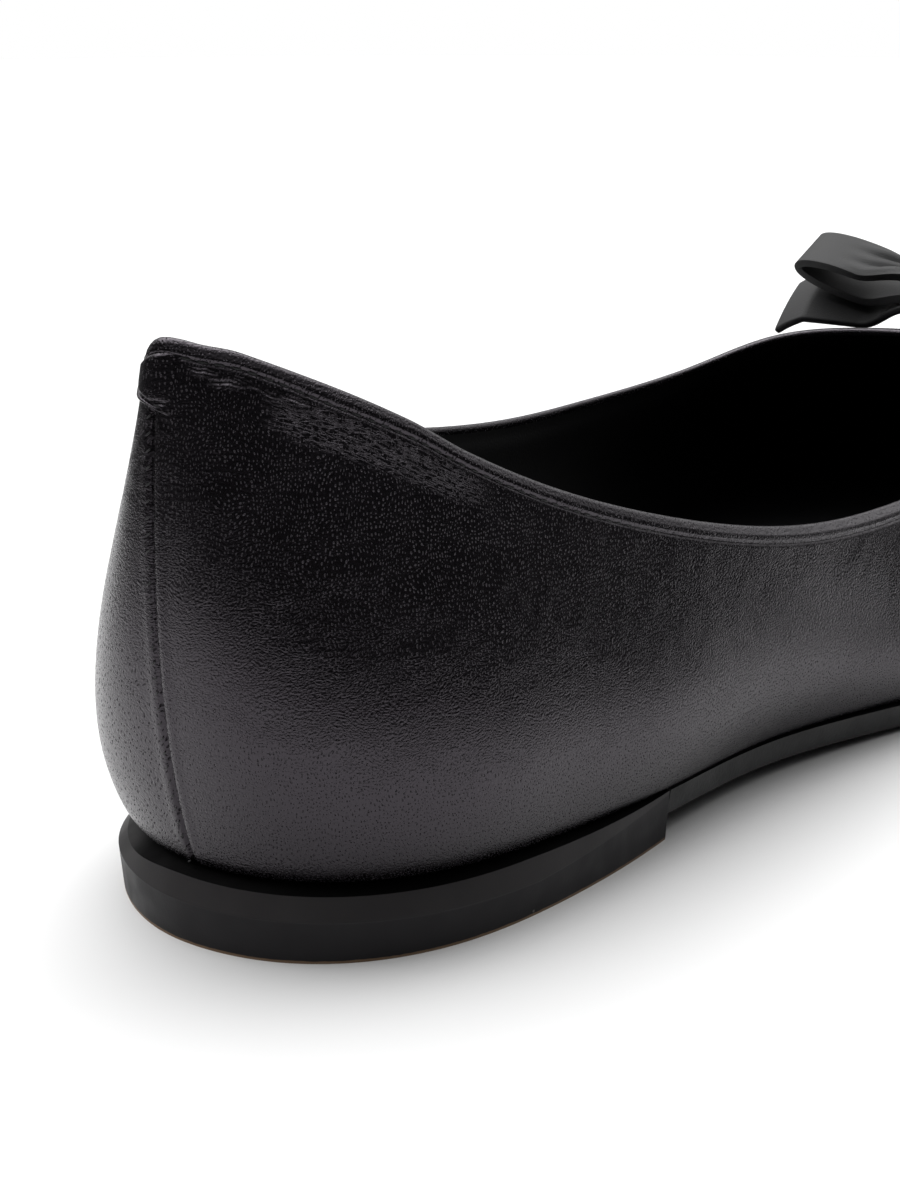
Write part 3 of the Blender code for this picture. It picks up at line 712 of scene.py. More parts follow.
def leather_grain():
    """The leather's own relief in metres: round pores in wavy rows along X over a fine pebble."""
    group = bpy.data.node_groups.new("leather grain", "ShaderNodeTree")
    add_sockets(group, "INPUT", Vector="Vector")
    for name, value in (("Pore Pitch", PORE_PITCH), ("Row Pitch", ROW_PITCH), ("Pebble", PEBBLE)):
        group.interface.new_socket(name, in_out="INPUT", socket_type="NodeSocketFloat").default_value = value
    add_sockets(group, "OUTPUT", Height="Float", Pores="Float")
    inside = add_node(group, "NodeGroupInput").outputs
    place = inside["Vector"]
    drift = add_node(group, "ShaderNodeTexNoise", {"Vector": place, "Scale": 210.0, "Detail": 1.0}).outputs
    push = output_of(group, "ShaderNodeVectorMath", {0: drift["Color"], "Scale": ROW_DRIFT},
                     operation="SCALE")
    moved = output_of(group, "ShaderNodeVectorMath", {0: place, 1: push}, operation="ADD")
    along = maths(group, "DIVIDE", 1.0, inside["Pore Pitch"])
    across = maths(group, "DIVIDE", 1.0, inside["Row Pitch"])
    spread = scaled(group, moved, along, across)
    cells = add_node(group, "ShaderNodeTexVoronoi", {"Vector": spread, "Scale": 1.0, "Randomness": 0.70},
                     voronoi_dimensions="2D")
    hue = output_of(group, "ShaderNodeSeparateColor", {0: cells.outputs["Color"]})
    least, spread_of_sizes = PORE_SIZES
    size = maths(group, "MULTIPLY_ADD", hue, spread_of_sizes, least)
    pores = between(group, maths(group, "DIVIDE", cells.outputs["Distance"], size), *PORE_RIM, 1.0, 0.0)
    grain = maths(group, "DIVIDE", 1.0, inside["Pebble"])
    fine = scaled(group, moved, times(group, grain, 0.75), grain)
    pebble = output_of(group, "ShaderNodeTexVoronoi", {"Vector": fine, "Scale": 1.0}, feature="SMOOTH_F1",
                       voronoi_dimensions="2D")
    mound = times(group, maths(group, "SUBTRACT", 1.0, pebble), MOUND_SHARE)
    soft = plus(group, mound, times(group, clouds(group, fine, 1.1, 2.0), ROUGH_SHARE))
    outside = add_node(group, "NodeGroupOutput")
    group.links.new(maths(group, "SUBTRACT", soft, pores), outside.inputs["Height"])
    group.links.new(pores, outside.inputs["Pores"])
    return group


GRAIN = leather_grain()


def grain_height(tree):
    return output_of(tree, "ShaderNodeGroup", {"Vector": object_place(tree)}, node_tree=GRAIN)


def make_leather():
    """Black goatskin: pores run level on the outer side and slant on the inner back."""
    material, tree, shader = new_material("black leather", LEATHER_BLACK, 0.38, Specular_IOR_Level=0.55,
                                          Specular_Tint=SHEEN_TINT)
    where = add_node(tree, "ShaderNodeAttribute", attribute_name="where").outputs["Vector"]
    side = add_node(tree, "ShaderNodeAttribute", attribute_name="side").outputs["Fac"]
    spot = parts_of(tree, where)
    level = output_of(tree, "ShaderNodeCombineXYZ", {0: spot["X"], 1: spot["Z"]})
    slant = output_of(tree, "ShaderNodeMapping", {"Vector": where, "Rotation": (0.0, 0.0, INNER_SLANT)})
    outer = add_node(tree, "ShaderNodeGroup", {"Vector": level}, node_tree=GRAIN).outputs
    inner = add_node(tree, "ShaderNodeGroup",
                     {"Vector": slant, "Pore Pitch": INNER_PORE_PITCH,
                      "Row Pitch": INNER_ROW_PITCH}, node_tree=GRAIN).outputs
    levelled = maths(tree, "MAXIMUM", between(tree, side, -0.2, 0.2), between(tree, spot["X"], *SLANT_END))
    height = mixed_value(tree, levelled, inner["Height"], outer["Height"])
    pores = mixed_value(tree, levelled, inner["Pores"], outer["Pores"])
    worn = times(tree, band_mask(tree, spot["Y"], *WORN_DOWN), band_mask(tree, spot["X"], *WORN_ALONG))
    lines = output_of(tree, "ShaderNodeMapping",
                      {"Vector": where, "Rotation": (0.0, 0.0, WRINKLE_SLANT), "Scale": WRINKLE_SCALE})
    wrinkle = output_of(tree, "ShaderNodeTexNoise",
                        {"Vector": lines, "Scale": 1.0, "Detail": 2.0, "Distortion": 0.5})
    ridge = maths(tree, "ABSOLUTE", maths(tree, "SUBTRACT", wrinkle, 0.5))
    crinkle = times(tree, between(tree, ridge, 0.0, 0.06, 1.0, 0.0), worn)
    grain = output_of(tree, "ShaderNodeBump", {"Distance": GRAIN_DEPTH, "Height": height})
    fold = output_of(tree, "ShaderNodeBump", {"Distance": WRINKLE_DEPTH, "Height": crinkle, "Normal": grain})
    tree.links.new(fold, shader.inputs["Normal"])
    matt = between(tree, clouds(tree, object_place(tree), 70.0, 3.0), 0.2, 0.8, 0.21, 0.25)
    matt = plus(tree, matt, times(tree, pores, PORE_DULLNESS))
    tree.links.new(matt, shader.inputs["Roughness"])
    return material


def make_lining():
    """Soft black lining leather, dull and even."""
    black = (0.006, 0.006, 0.0065)
    material, tree, shader = new_material("black lining", black, 0.62, Specular_IOR_Level=0.25)
    add_relief(tree, shader, clouds(tree, object_place(tree), 2600.0, 2.0), 0.00003)
    return material


LAP_DROP = 0.0060
COLUMNS = columns_round()
leather = make_leather()
lining = make_lining()
make_upper(leather, lining)


# Back overlap
# The outer quarter ends in a small rounded tongue that is folded over the back seam under the topline
# and sewn down, so that the seam can't open. Its outline: how far it reaches past the seam, in mm.
LAP_OUTLINE = (
    (0.4, 3.3), (1.2, 3.9), (2.2, 4.1), (3.0, 3.8), (3.8, 3.1), (4.6, 2.1), (5.3, 1.0), (6.0, -0.3),
    (6.5, -1.5),
)
LAP_BACK = 0.0022
LAP_HEIGHT = 0.00042
LAP_EDGE = 0.00045
LAP_MARGIN = 0.0009


def lap_reach(down):
    """How far the tongue reaches past the seam at a distance down from the rim."""
    drops, reaches = np.array(LAP_OUTLINE).T / 1000
    return np.interp(down, drops, reaches)


def on_back(s, down, lift=0.0):
    """Points near the back seam by their distances along from it and down from the topline."""
    s, down = np.broadcast_arrays(np.asarray(s, float), np.asarray(down, float))
    shares, climb = climb_table(0.0)
    v = np.interp(climb[-1, 0] - down, climb[:, 0], shares)
    zero = np.zeros_like(v)
    speed = np.linalg.norm(wall(zero + REACH, v) - wall(zero - REACH, v), axis=-1) / (2 * REACH)
    t = s / speed
    return wall(t, v) + wall_out(t, v) * np.asarray(lift)[..., None]


def make_lap():
    across, deep = 40, 34
    drops = np.array(LAP_OUTLINE)[:, 0] / 1000
    down = np.interp(np.linspace(0.0, 1.0, deep) ** 0.9, [0.0, 1.0], [drops[0], drops[-1]])[:, None]
    reach = lap_reach(down)
    reach = np.vstack([reach[:1], (reach[:-2] + 2 * reach[1:-1] + reach[2:]) / 4, reach[-1:]])
    share = np.sin(np.linspace(0.0, math.pi / 2, across))[None, :]
    s = LAP_BACK - (LAP_BACK + reach) * share
    down = np.broadcast_to(down, s.shape)
    from_edge = np.minimum(s + reach, (drops[-1] - down) * 0.8)
    rounded = np.sqrt(1 - (1 - np.clip(from_edge / LAP_EDGE, 0.0, 1.0)) ** 2)
    fade = soft_step(LAP_BACK - s, 0.0, LAP_BACK * 0.9)
    tuck = soft_step(down, drops[0], drops[0] + 0.0005)
    sewn = 0.9 * hump(from_edge - LAP_MARGIN, 0.00022)
    lift = LAP_HEIGHT * rounded * fade * tuck * (1 - sewn) - 0.00003
    outside = on_back(s, down, lift)
    inside = on_back(s, down, np.full_like(down, -0.00012))
    points = np.concatenate([outside.reshape(-1, 3), inside.reshape(-1, 3)])
    lap = new_piece("back_overlap", in_frame(points), slab_faces(deep, across), leather,
                    ["dog_tail"])
    mark_leather(lap.data, np.tile(s, (2, 1)), np.tile(down, (2, 1)), BACK_HEIGHT - wall(0.0, 1.0)[2])


def slab_faces(rows, columns):
    """Faces of a closed slab: a grid of points, the same grid under it, and the border between."""
    under = rows * columns
    faces = grid_faces(rows, columns)
    faces += [tuple(index + under for index in reversed(face)) for face in faces]
    border = list(range(columns))
    border += [i * columns + columns - 1 for i in range(1, rows)]
    border += [(rows - 1) * columns + j for j in reversed(range(columns - 1))]
    border += [i * columns for i in reversed(range(1, rows - 1))]
    for a, b in zip(border, border[1:] + border[:1]):
        faces.append((b, a, a + under, b + under))
    return faces


make_lap()


# Stitching
# One row of waxed black thread runs round under the folded topline, one follows the tongue's edge, and
# short cross stitches hold the back seam. Each row is a path that Geometry Nodes fills with stitches.
THREAD = 0.00024
FINE_THREAD = 0.00020
STITCH_LENGTH = 0.00115
SEAM_END = 0.0555
SEAM_TURN = (0.0, 0.9, 0.0)


def stitch_tree():
    """Lays one thread stitch at each pitch along a path of edges."""
    tree = bpy.data.node_groups.new("stitch row", "GeometryNodeTree")
    add_sockets(tree, "INPUT", Geometry="Geometry", Pitch="Float", Stitch_Length="Float", Thread="Float",
                Turn="Rotation", Material="Material")
    add_sockets(tree, "OUTPUT", Geometry="Geometry")
    given = add_node(tree, "NodeGroupInput").outputs
    path = output_of(tree, "GeometryNodeMeshToCurve", {"Mesh": given["Geometry"]})
    spots = add_node(tree, "GeometryNodeCurveToPoints", {"Curve": path, "Length": given["Pitch"]},
                     mode="LENGTH").outputs
    ball = output_of(tree, "GeometryNodeMeshUVSphere", {"Segments": 8, "Rings": 6, "Radius": 0.5})
    size = output_of(tree, "ShaderNodeCombineXYZ",
                     {0: given["Thread"], 1: given["Thread"], 2: given["Stitch Length"]})
    turn = output_of(tree, "FunctionNodeRotateRotation", {0: spots["Rotation"], 1: given["Turn"]},
                     rotation_space="LOCAL")
    row = output_of(tree, "GeometryNodeInstanceOnPoints",
                    {"Points": spots["Points"], "Instance": ball, "Rotation": turn, "Scale": size})
    row = output_of(tree, "GeometryNodeRealizeInstances", {0: row})
    row = output_of(tree, "GeometryNodeSetShadeSmooth", {"Geometry": row})
    row = output_of(tree, "GeometryNodeSetMaterial", {"Geometry": row, "Material": given["Material"]})
    tree.links.new(row, add_node(tree, "NodeGroupOutput").inputs[0])
    return tree


STITCH_ROW = stitch_tree()


def sew(name, points, closed, length=STITCH_LENGTH, thread=THREAD, turn=(0.0, 0.0, 0.0)):
    """One row of stitches along points, as a plain mesh that rides on the shoe."""
    count = len(points)
    edges = [(i, (i + 1) % count) for i in range(count if closed else count - 1)]
    path = bpy.data.meshes.new(name + "_path")
    path.from_pydata(np.asarray(points).tolist(), edges, [])
    guide = in_scene(name + "_path", path)
    sewing = guide.modifiers.new("stitches", "NODES")
    sewing.node_group = STITCH_ROW
    values = {"Pitch": STITCH_PITCH, "Stitch Length": length, "Thread": thread, "Turn": turn,
              "Material": thread_black}
    for item in STITCH_ROW.interface.items_tree:
        if item.in_out == "INPUT" and item.name in values:
            sewing[item.identifier] = values[item.name]
    seen = guide.evaluated_get(bpy.context.evaluated_depsgraph_get())
    mesh = bpy.data.meshes.new_from_object(seen)
    bpy.data.objects.remove(guide)
    row = in_scene(name, mesh)
    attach(row, "root")


def make_thread():
    """Waxed thread with a fine twist."""
    material, tree, shader = new_material("black thread", (0.010, 0.010, 0.011), 0.45)
    twist = add_node(tree, "ShaderNodeTexWave",
                     {"Vector": object_place(tree), "Scale": 3000.0, "Distortion": 2.0})
    add_relief(tree, shader, twist.outputs["Fac"], 0.00002)
    return material


def under_topline(lift):
    """The path of the stitching all round the shoe, just under the rim."""
    v = share_down(COLUMNS, np.full((1, len(COLUMNS)), FOLD_WIDTH))[0]
    along = along_rows(wall(COLUMNS, v)[None])[0]
    down = fold_width(along)
    v = share_down(COLUMNS, down[None])[0]
    rise = rim_way(COLUMNS) * rim_lift(along, down)[:, None]
    return in_frame(wall(COLUMNS, v) + wall_out(COLUMNS, v) * lift + rise)


thread_black = make_thread()
sew("topline_stitches", under_topline(-STITCH_DENT + 0.00005), closed=True)
lap_down = np.concatenate([np.linspace(0.0010, 0.0050, 24), [0.0053, 0.0055, 0.0056]])
lap_s = np.concatenate([LAP_MARGIN - lap_reach(lap_down[:24]), [-0.0010, -0.0004, 0.0006]])
lap_path = on_back(lap_s, lap_down, np.full_like(lap_s, LAP_HEIGHT * 0.55))
sew("overlap_stitches", in_frame(lap_path), closed=False, length=0.0009, thread=FINE_THREAD)
seam_down = np.arange(LAP_DROP + 0.0006, SEAM_END, 0.0004)
seam_path = on_back(np.full_like(seam_down, -0.00045), seam_down, np.full_like(seam_down, 0.00012))
sew("seam_stitches", in_frame(seam_path), closed=False, length=0.0008, thread=FINE_THREAD, turn=SEAM_TURN)


# Heel block
# A low block of black fibreboard and rubber with a sloping band cut round its top edge, behind which a
# shelf rises to the upper. The seat of the outsole is let into it.
SEAT_THICKNESS = 0.0020
SEAT_INSET = 0.0032
HEEL_LIP = 0.0024
LIP_SLIMMED = 0.25
HEEL_TAPER = 0.0004
CHAMFER_HEIGHT = 0.0027
CHAMFER_DEPTH = 0.0011
CHAMFER_RUN_OUT = 0.0250
SHELF_DROP = 0.0006
SHELF_DROP_INNER = 0.0014
SHELF_INSET = 0.0014
INNER_TURN = 0.0140
HEEL_COLUMNS = 260
HEEL_ROUNDING = 0.00028
HEEL_BLACK = (0.0120, 0.0110, 0.0125, 1.0)
# Painted light: the band's slope is given a greyer colour to stand in for the light it catches.
BAND_PAINTED_LIGHT = (0.0300, 0.0280, 0.0290, 1.0)
# Painted shade: the shelf in the gap under the upper is given a near-black colour.
SHELF_PAINTED_SHADE = (0.0012, 0.0011, 0.0014, 1.0)
SPECK_GREY = (0.1100, 0.1050, 0.1000, 1.0)
BARE_BROWN = (0.2000, 0.1300, 0.0800, 1.0)


def t_at_length(y, outer):
    """Where the sole's edge is y from the heel, on the outer or the inner side."""
    toe = KNOTS[TOE_STATION]
    near, far = (0.0, toe) if outer else (ROUND, toe)
    for _ in range(50):
        middle = (near + far) / 2
        if around(middle)[1] < y:
            near = middle
        else:
            far = middle
    return (near + far) / 2


def edge_pair(y, offset):
    """The two points of the sole's edge at a length, each moved out by the offset."""
    pair = []
    for outer in (True, False):
        here, out = sole_edge(t_at_length(y, outer))
        pair.append(here + out * offset)
    return pair


def level(pair, y):
    """The same pair with both points brought to one length."""
    return [np.array([point[0], y]) for point in pair]


def spaced(start, end, count, round_start=False, round_end=False):
    """Lengths from start to end, closer together at a round end."""
    s = np.linspace(0.0, 1.0, count + 1)
    if round_start:
        s = 1 - np.cos(math.pi * s / 2)
    if round_end:
        s = np.sin(math.pi * s / 2)
    return list(start + s * (end - start))


def plate_points(pairs, height, columns):
    """A face across pairs of edge points, with height worked out from each point's length."""
    s = np.linspace(0.0, 1.0, columns)
    rows = []
    for right, left in pairs:
        x = right[0] + s * (left[0] - right[0])
        y = right[1] + s * (left[1] - right[1])
        rows.append(np.column_stack([x, y, height(y, s)]))
    return np.array(rows)


def seat_rows(grow=0.0, end=BREAST_AT, count=26):
    """The part of the outsole that lies in the heel block, a margin inside the upper's edge."""
    lengths = spaced(ROWS[0][1], BREAST_AT, count, round_start=True)
    rows = [edge_pair(y, grow - SEAT_INSET) for y in lengths]
    rows[-1] = level(rows[-1], BREAST_AT)
    if end > BREAST_AT:
        rows.append(level(rows[-1], end))
    return rows


def plate_mesh(upper_rows, top, lower_rows, under, columns):
    """A closed plate between two faces, each with its rows of edge points and its height."""
    faces = [plate_points(upper_rows, top, columns), plate_points(lower_rows, under, columns)]
    return in_frame(np.concatenate(faces).reshape(-1, 3)), slab_faces(len(upper_rows), columns)


def bake_modifiers(piece):
    """Turns a piece's modifiers into plain mesh."""
    mesh = bpy.data.meshes.new_from_object(piece.evaluated_get(bpy.context.evaluated_depsgraph_get()))
    piece.modifiers.clear()
    piece.data = mesh


def round_edges(piece, width, segments=3, angle=30.0):
    bevel = piece.modifiers.new("rounded edges", "BEVEL")
    bevel.width = width
    bevel.segments = segments
    bevel.limit_method = "ANGLE"
    bevel.angle_limit = math.radians(angle)
    bevel.harden_normals = False


def make_heel():
    start = t_at_length(BREAST_AT, False) - ROUND
    t = np.linspace(start, t_at_length(BREAST_AT, True), HEEL_COLUMNS)
    here, out = sole_edge(t)
    share = np.clip(1 - (here[:, 1] / BREAST_AT) ** 2, 0.0, 1.0)
    band = np.clip((BREAST_AT - here[:, 1]) / CHAMFER_RUN_OUT, 0.0, 1.0)
    inner = soft_step(-t, 0.0, INNER_TURN)
    lip = HEEL_LIP * share * (1 - LIP_SLIMMED * inner)
    shelf = (SHELF_DROP + SHELF_DROP_INNER * inner) * share
    line = seat_height(here[:, 1]) - CHAMFER_HEIGHT * band - GAP
    rings = []
    for offset in (lip - HEEL_TAPER, lip - HEEL_TAPER / 2, lip, lip - CHAMFER_DEPTH * band * share,
                   np.full_like(lip, -SHELF_INSET)):
        rings.append(here + out * offset[:, None])
    heights = (0 * lip, line / 2, line, seat_height(rings[3][:, 1]) - shelf, seat_height(rings[4][:, 1]))
    count = len(t)
    points = in_frame(np.concatenate([np.column_stack(pair) for pair in zip(rings, heights)]))
    faces = grid_faces(len(rings), count, wrap_columns=True)
    faces.append(tuple(reversed(range(count))))
    faces.append(tuple(range((len(rings) - 1) * count, len(rings) * count)))
    heel = new_piece("heel_block", points, faces, make_heel_finish(), ["heel"], sharp=12)
    round_edges(heel, HEEL_ROUNDING, angle=11.0)
    rows = seat_rows(grow=GAP, end=BREAST_AT + SEAT_INSET)
    points, faces = plate_mesh(rows, lambda y, s: seat_height(y) + SEAT_THICKNESS,
                               rows, lambda y, s: seat_height(y) - SEAT_THICKNESS - GAP, 9)
    mesh = bpy.data.meshes.new("seat_recess")
    mesh.from_pydata(points.tolist(), [], faces)
    cutter = in_scene("seat_recess", mesh)
    cut = heel.modifiers.new("seat recess", "BOOLEAN")
    cut.operation = "DIFFERENCE"
    cut.object = cutter
    bake_modifiers(heel)
    bpy.data.objects.remove(cutter)


def make_heel_finish():
    """Dull black edge ink with pale specks and a bare line at the floor; the band's slope is painted greyer
    as painted light, and the shelf behind it is painted near black as painted shade.
    """
    material, tree, shader = new_material("heel edge ink", HEEL_BLACK[:3], 0.45, Specular_IOR_Level=0.18)
    place = object_place(tree)
    spot = parts_of(tree, place)
    height = spot["Z"]
    length = plus(tree, spot["Y"], LENGTH / 2)
    seat = maths(tree, "MULTIPLY_ADD", length, SEAT_SLOPE, SEAT_BACK_HEIGHT - GAP)
    ahead = output_of(tree, "ShaderNodeMapRange",
                      {"Value": length, "From Min": BREAST_AT, "From Max": BREAST_AT - CHAMFER_RUN_OUT,
                       "To Max": CHAMFER_HEIGHT})
    line = maths(tree, "SUBTRACT", height, maths(tree, "SUBTRACT", seat, ahead))
    slope_up = parts_of(tree, add_node(tree, "ShaderNodeNewGeometry").outputs["True Normal"])["Z"]
    band = between(tree, line, -0.00025, 0.00005)
    # Where the near-black painted shade goes: the up-facing shelf above the band line.
    shelf = times(tree, band, between(tree, slope_up, 0.66, 0.82))
    edge = plus(tree, height, times(tree, clouds(tree, place, 900.0, 2.0), -0.00016))
    bare = between(tree, edge, 0.00016, 0.00030, 1.0, 0.0)
    dust = add_node(tree, "ShaderNodeTexVoronoi", {"Vector": place, "Scale": 420.0}).outputs
    draw = add_node(tree, "ShaderNodeSeparateColor", {0: dust["Color"]}).outputs[1]
    speck = times(tree, between(tree, dust["Distance"], 0.05, 0.09, 1.0, 0.0),
                  maths(tree, "GREATER_THAN", draw, 0.80))
    # The band's grey is painted light; the shelf's near black, mixed in below, is painted shade.
    colour = mixed_colour(tree, band, HEEL_BLACK, BAND_PAINTED_LIGHT)
    for share, paint in ((speck, SPECK_GREY), (shelf, SHELF_PAINTED_SHADE), (bare, BARE_BROWN)):
        colour = mixed_colour(tree, share, colour, paint)
    tree.links.new(colour, shader.inputs["Base Color"])
    waves = clouds(tree, place, 260.0, 1.0)
    relief = plus(tree, times(tree, clouds(tree, place, 3200.0, 3.0), 0.25), waves)
    add_relief(tree, shader, relief, 0.00006)
    dull = plus(tree, between(tree, waves, 0.3, 0.7, 0.40, 0.52), times(tree, shelf, 0.45))
    tree.links.new(dull, shader.inputs["Roughness"])
    return material


make_heel()


# Outsole
# One thin sole of black leather board, skived to a narrow edge at the waist. It stands on its forepart
# and springs up at the toe.
SOLE_EDGE = 0.0012
SOLE_UNDERCUT = 0.0005
SOLE_COLUMNS = 15


def sole_offset(y):
    """How far the outsole stands out past the upper: flush at the waist, a narrow edge at the ball."""
    return SOLE_EDGE * float(soft_step(y, BREAST_AT, FLAT_START))


def make_outsole():
    breast = BREAST_AT + GAP
    tip = float(around(KNOTS[TOE_STATION])[1])
    lengths = spaced(breast, FLAT_START, 36)[:-1]
    lengths += spaced(FLAT_START, FLAT_END, 12)[:-1]
    lengths += spaced(FLAT_END, tip, 46, round_end=True)
    upper_rows, lower_rows = seat_rows(), seat_rows()
    shoulder = len(upper_rows)
    for y in lengths:
        upper_rows.append(edge_pair(y, sole_offset(y)))
        lower_rows.append(edge_pair(y, sole_offset(y) - SOLE_UNDERCUT))
    upper_rows[shoulder] = level(upper_rows[shoulder], breast)
    lower_rows[shoulder] = level(lower_rows[shoulder], breast)

    def under(y, s):
        thickness = np.where(y < BREAST_AT + GAP / 2, SEAT_THICKNESS, SOLE_THICKNESS)
        return seat_height(y) - thickness

    points, faces = plate_mesh(upper_rows, lambda y, s: seat_height(y), lower_rows, under, SOLE_COLUMNS)
    sole = new_piece("sole", points, faces, make_sole_finish(), ["outsole"], sharp=30)
    round_edges(sole, 0.00045, angle=35.0)
    bake_modifiers(sole)


def make_sole_finish():
    """Black board with a dull, faintly marbled face."""
    material, tree, shader = new_material("black sole", (0.013, 0.013, 0.0135), 0.5, Specular_IOR_Level=0.4)
    place = object_place(tree)
    marble = clouds(tree, place, 160.0, 4.0)
    tree.links.new(between(tree, marble, 0.3, 0.7, 0.42, 0.60), shader.inputs["Roughness"])
    add_relief(tree, shader, clouds(tree, place, 2400.0, 3.0), 0.00005)
    return material


make_outsole()


# Insole
# A thin foam sock covered in black lining leather, cupped a little at the heel and crowned under the
# arch. It is glued to the board inside the upper.
INSOLE_THICKNESS = 0.0030
INSOLE_CROWN = 0.0009
INSOLE_COLUMNS = 27


def make_insole():
    half = KNOTS[TOE_STATION]
    outer_t = np.linspace(0.0, half, 150)
    inner_t = np.linspace(ROUND, half, 150)
    upper_rows, lower_rows = [], []
    for pair in zip(outer_t, inner_t):
        low_pair, high_pair = [], []
        for t in pair:
            way = sole_edge(t)[1]
            foot = wall(t, 0.0)[:2] - way * WALL
            climb = np.linspace(0.0, 0.4, 60)
            lining_face = wall(np.full(60, t), climb) - wall_out(np.full(60, t), climb) * WALL
            goal = wall(t, 0.0)[2] + INSOLE_THICKNESS
            high = np.array([np.interp(goal, lining_face[1:, 2], lining_face[1:, i]) for i in (0, 1)])
            low_pair.append(foot - way * GAP)
            high_pair.append(high - way * GAP)
        upper_rows.append(high_pair)
        lower_rows.append(low_pair)

    def top(y, s):
        side = 1 - (2 * s - 1) ** 2
        dip = INSOLE_CROWN * (1 - side) ** 4
        return seat_height(y) + GAP + INSOLE_THICKNESS - dip * 0.8 + INSOLE_CROWN * 0.25 * side

    points, faces = plate_mesh(upper_rows, top,
                               lower_rows, lambda y, s: seat_height(y) + GAP, INSOLE_COLUMNS)
    sock = new_piece("padded_insole", points, faces, make_sock_finish(), ["insole"], sharp=60)


def make_sock_finish():
    """Smooth black sock leather with a fine grain."""
    material, tree, shader = new_material("black sock leather", (0.008, 0.008, 0.009), 0.5,
                                          Specular_IOR_Level=0.3)
    add_relief(tree, shader, grain_height(tree), 0.00003)
    return material


make_insole()


# Bow
# Flat strips of soft matt leather: two loops over two short tails, gathered by a band and sewn to the
# vamp at the throat. The ends are cut on the slant.
BOW_AT = 0.1850
LOOP_SPAN = 0.0550
LOOP_DEPTH = 0.0092
LOOP_HEIGHT = 0.0066
LOOP_RISE = 0.0040
LOOP_LEAN = 0.0030
LOOP_MOUTH = 0.0034
RIBBON = 0.0013
RIBBON_PINCH = 0.0090
KNOT_WIDTH = 0.0105
KNOT_WALL = 0.0022
KNOT_SQUARENESS = 0.12
TAIL_SPAN = 0.0572
TAIL_DEPTH = 0.0120
TAIL_DROP = 0.0032
TAIL_SWEEP = 0.0048
TAIL_SLANT = 0.0010
TAIL_SAG = 0.0020
BOW_ROLL = math.radians(36)
ROLL_FULL_AT = 0.0150
LOOP_SWELL_POWER = 0.8
LOOP_CURL_POWER = 1.3
PLEAT_HEIGHT = 0.00045
PLEATS = 3
STACK_FOOT = 2 * GAP + KNOT_WALL
STACK_HEIGHT = RIBBON + GAP + LOOP_MOUTH + RIBBON
MOUTH = KNOT_WIDTH / 2 + GAP
TAIL_LEVEL = STACK_FOOT + RIBBON / 2
LOOP_LEVEL = TAIL_LEVEL + RIBBON + GAP
LOOP_REACH = LOOP_SPAN / 2 - MOUTH - RIBBON / 2
ROLL_AXIS = STACK_FOOT + STACK_HEIGHT / 2
ACROSS = np.linspace(-1.0, 1.0, 19)
LOOP_STEPS = 80
TAIL_STEPS = 50


def bow_place():
    """Moves the bow from its own axes to the vamp's ridge, tipped to its slope."""
    t = KNOTS[TOE_STATION]
    low, high = 0.0, 1.0
    for _ in range(40):
        v = (low + high) / 2
        if wall(t, v)[1] > BOW_AT:
            low = v
        else:
            high = v
    here = wall(t, v)
    slope = wall(t, v - 0.02) - here
    tip = Matrix.Rotation(math.atan2(slope[2], slope[1]), 4, "X")
    return Matrix.Translation(Vector(in_frame(here))) @ tip


def band_row(x, y, z, half, slant=0.0, pleat=0.0, sag=0.0):
    """One row across a ribbon, from its heel-side edge to its toe-side edge, turned with the bow."""
    turn = BOW_ROLL * soft_step(abs(x), MOUTH, ROLL_FULL_AT)
    side = y + half * ACROSS
    rise = z + pleat * np.cos(math.pi * PLEATS * ACROSS) - sag * ((1 - ACROSS) / 2) ** 2 - ROLL_AXIS
    rows = np.zeros((len(ACROSS), 3))
    rows[:, 0] = x + slant * ACROSS
    rows[:, 1] = side * math.cos(turn) - rise * math.sin(turn)
    rows[:, 2] = ROLL_AXIS + side * math.sin(turn) + rise * math.cos(turn)
    return rows


def loop_swell(out):
    """Half the height between a loop's two leaves."""
    return LOOP_MOUTH / 2 + (LOOP_HEIGHT - LOOP_MOUTH) / 2 * out**LOOP_SWELL_POWER


def loop_floor(out):
    """How far the loop's lower leaf has risen where its middle line is a share of the way out."""
    return LOOP_RISE * out**LOOP_CURL_POWER + loop_swell(out) * (1 - math.sqrt(max(1 - out**2, 0.0)))


def ribbon(name, rows, replaced):
    rows = np.array(rows)
    faces = grid_faces(len(rows), len(ACROSS))
    points = [BOW_PLACE @ Vector(p) for p in rows.reshape(-1, 3)]
    piece = new_piece(name, np.array(points), faces, bow_leather, [replaced])
    wall_of_ribbon = piece.modifiers.new("ribbon thickness", "SOLIDIFY")
    wall_of_ribbon.thickness = RIBBON
    wall_of_ribbon.offset = 0.0
    wall_of_ribbon.use_even_offset = True
    round_edges(piece, RIBBON * 0.34, angle=50.0)
    bake_modifiers(piece)


def strip_half(out, depth, full_at):
    """Half a strip's width at a share of the way out from the knot."""
    return RIBBON_PINCH / 2 + (depth - RIBBON_PINCH) / 2 * float(soft_step(out, 0.0, full_at))


def pleat_at(out):
    return PLEAT_HEIGHT * float(soft_step(out, 0.0, 0.12)) * (1 - float(soft_step(out, 0.15, 0.75)))


def make_loop(side_name, side):
    rows = [band_row(side * GAP, 0.0, LOOP_LEVEL, RIBBON_PINCH / 2)]
    for i in range(LOOP_STEPS + 1):
        angle = math.pi * i / LOOP_STEPS
        out = max(math.sin(angle), 0.0)
        z = LOOP_LEVEL + LOOP_RISE * out**LOOP_CURL_POWER + loop_swell(out) * (1 - math.cos(angle))
        x = MOUTH + LOOP_REACH * out - LOOP_LEAN * out * (1 - math.cos(angle)) / 2
        half = strip_half(out, LOOP_DEPTH, 0.95)
        rows.append(band_row(side * x, 0.0, z, half, pleat=pleat_at(out) if angle > math.pi / 2 else 0.0))
    rows.append(band_row(side * GAP, 0.0, LOOP_LEVEL + LOOP_MOUTH, RIBBON_PINCH / 2))
    ribbon("loop_" + side_name, rows, "bow_loop_" + side_name)


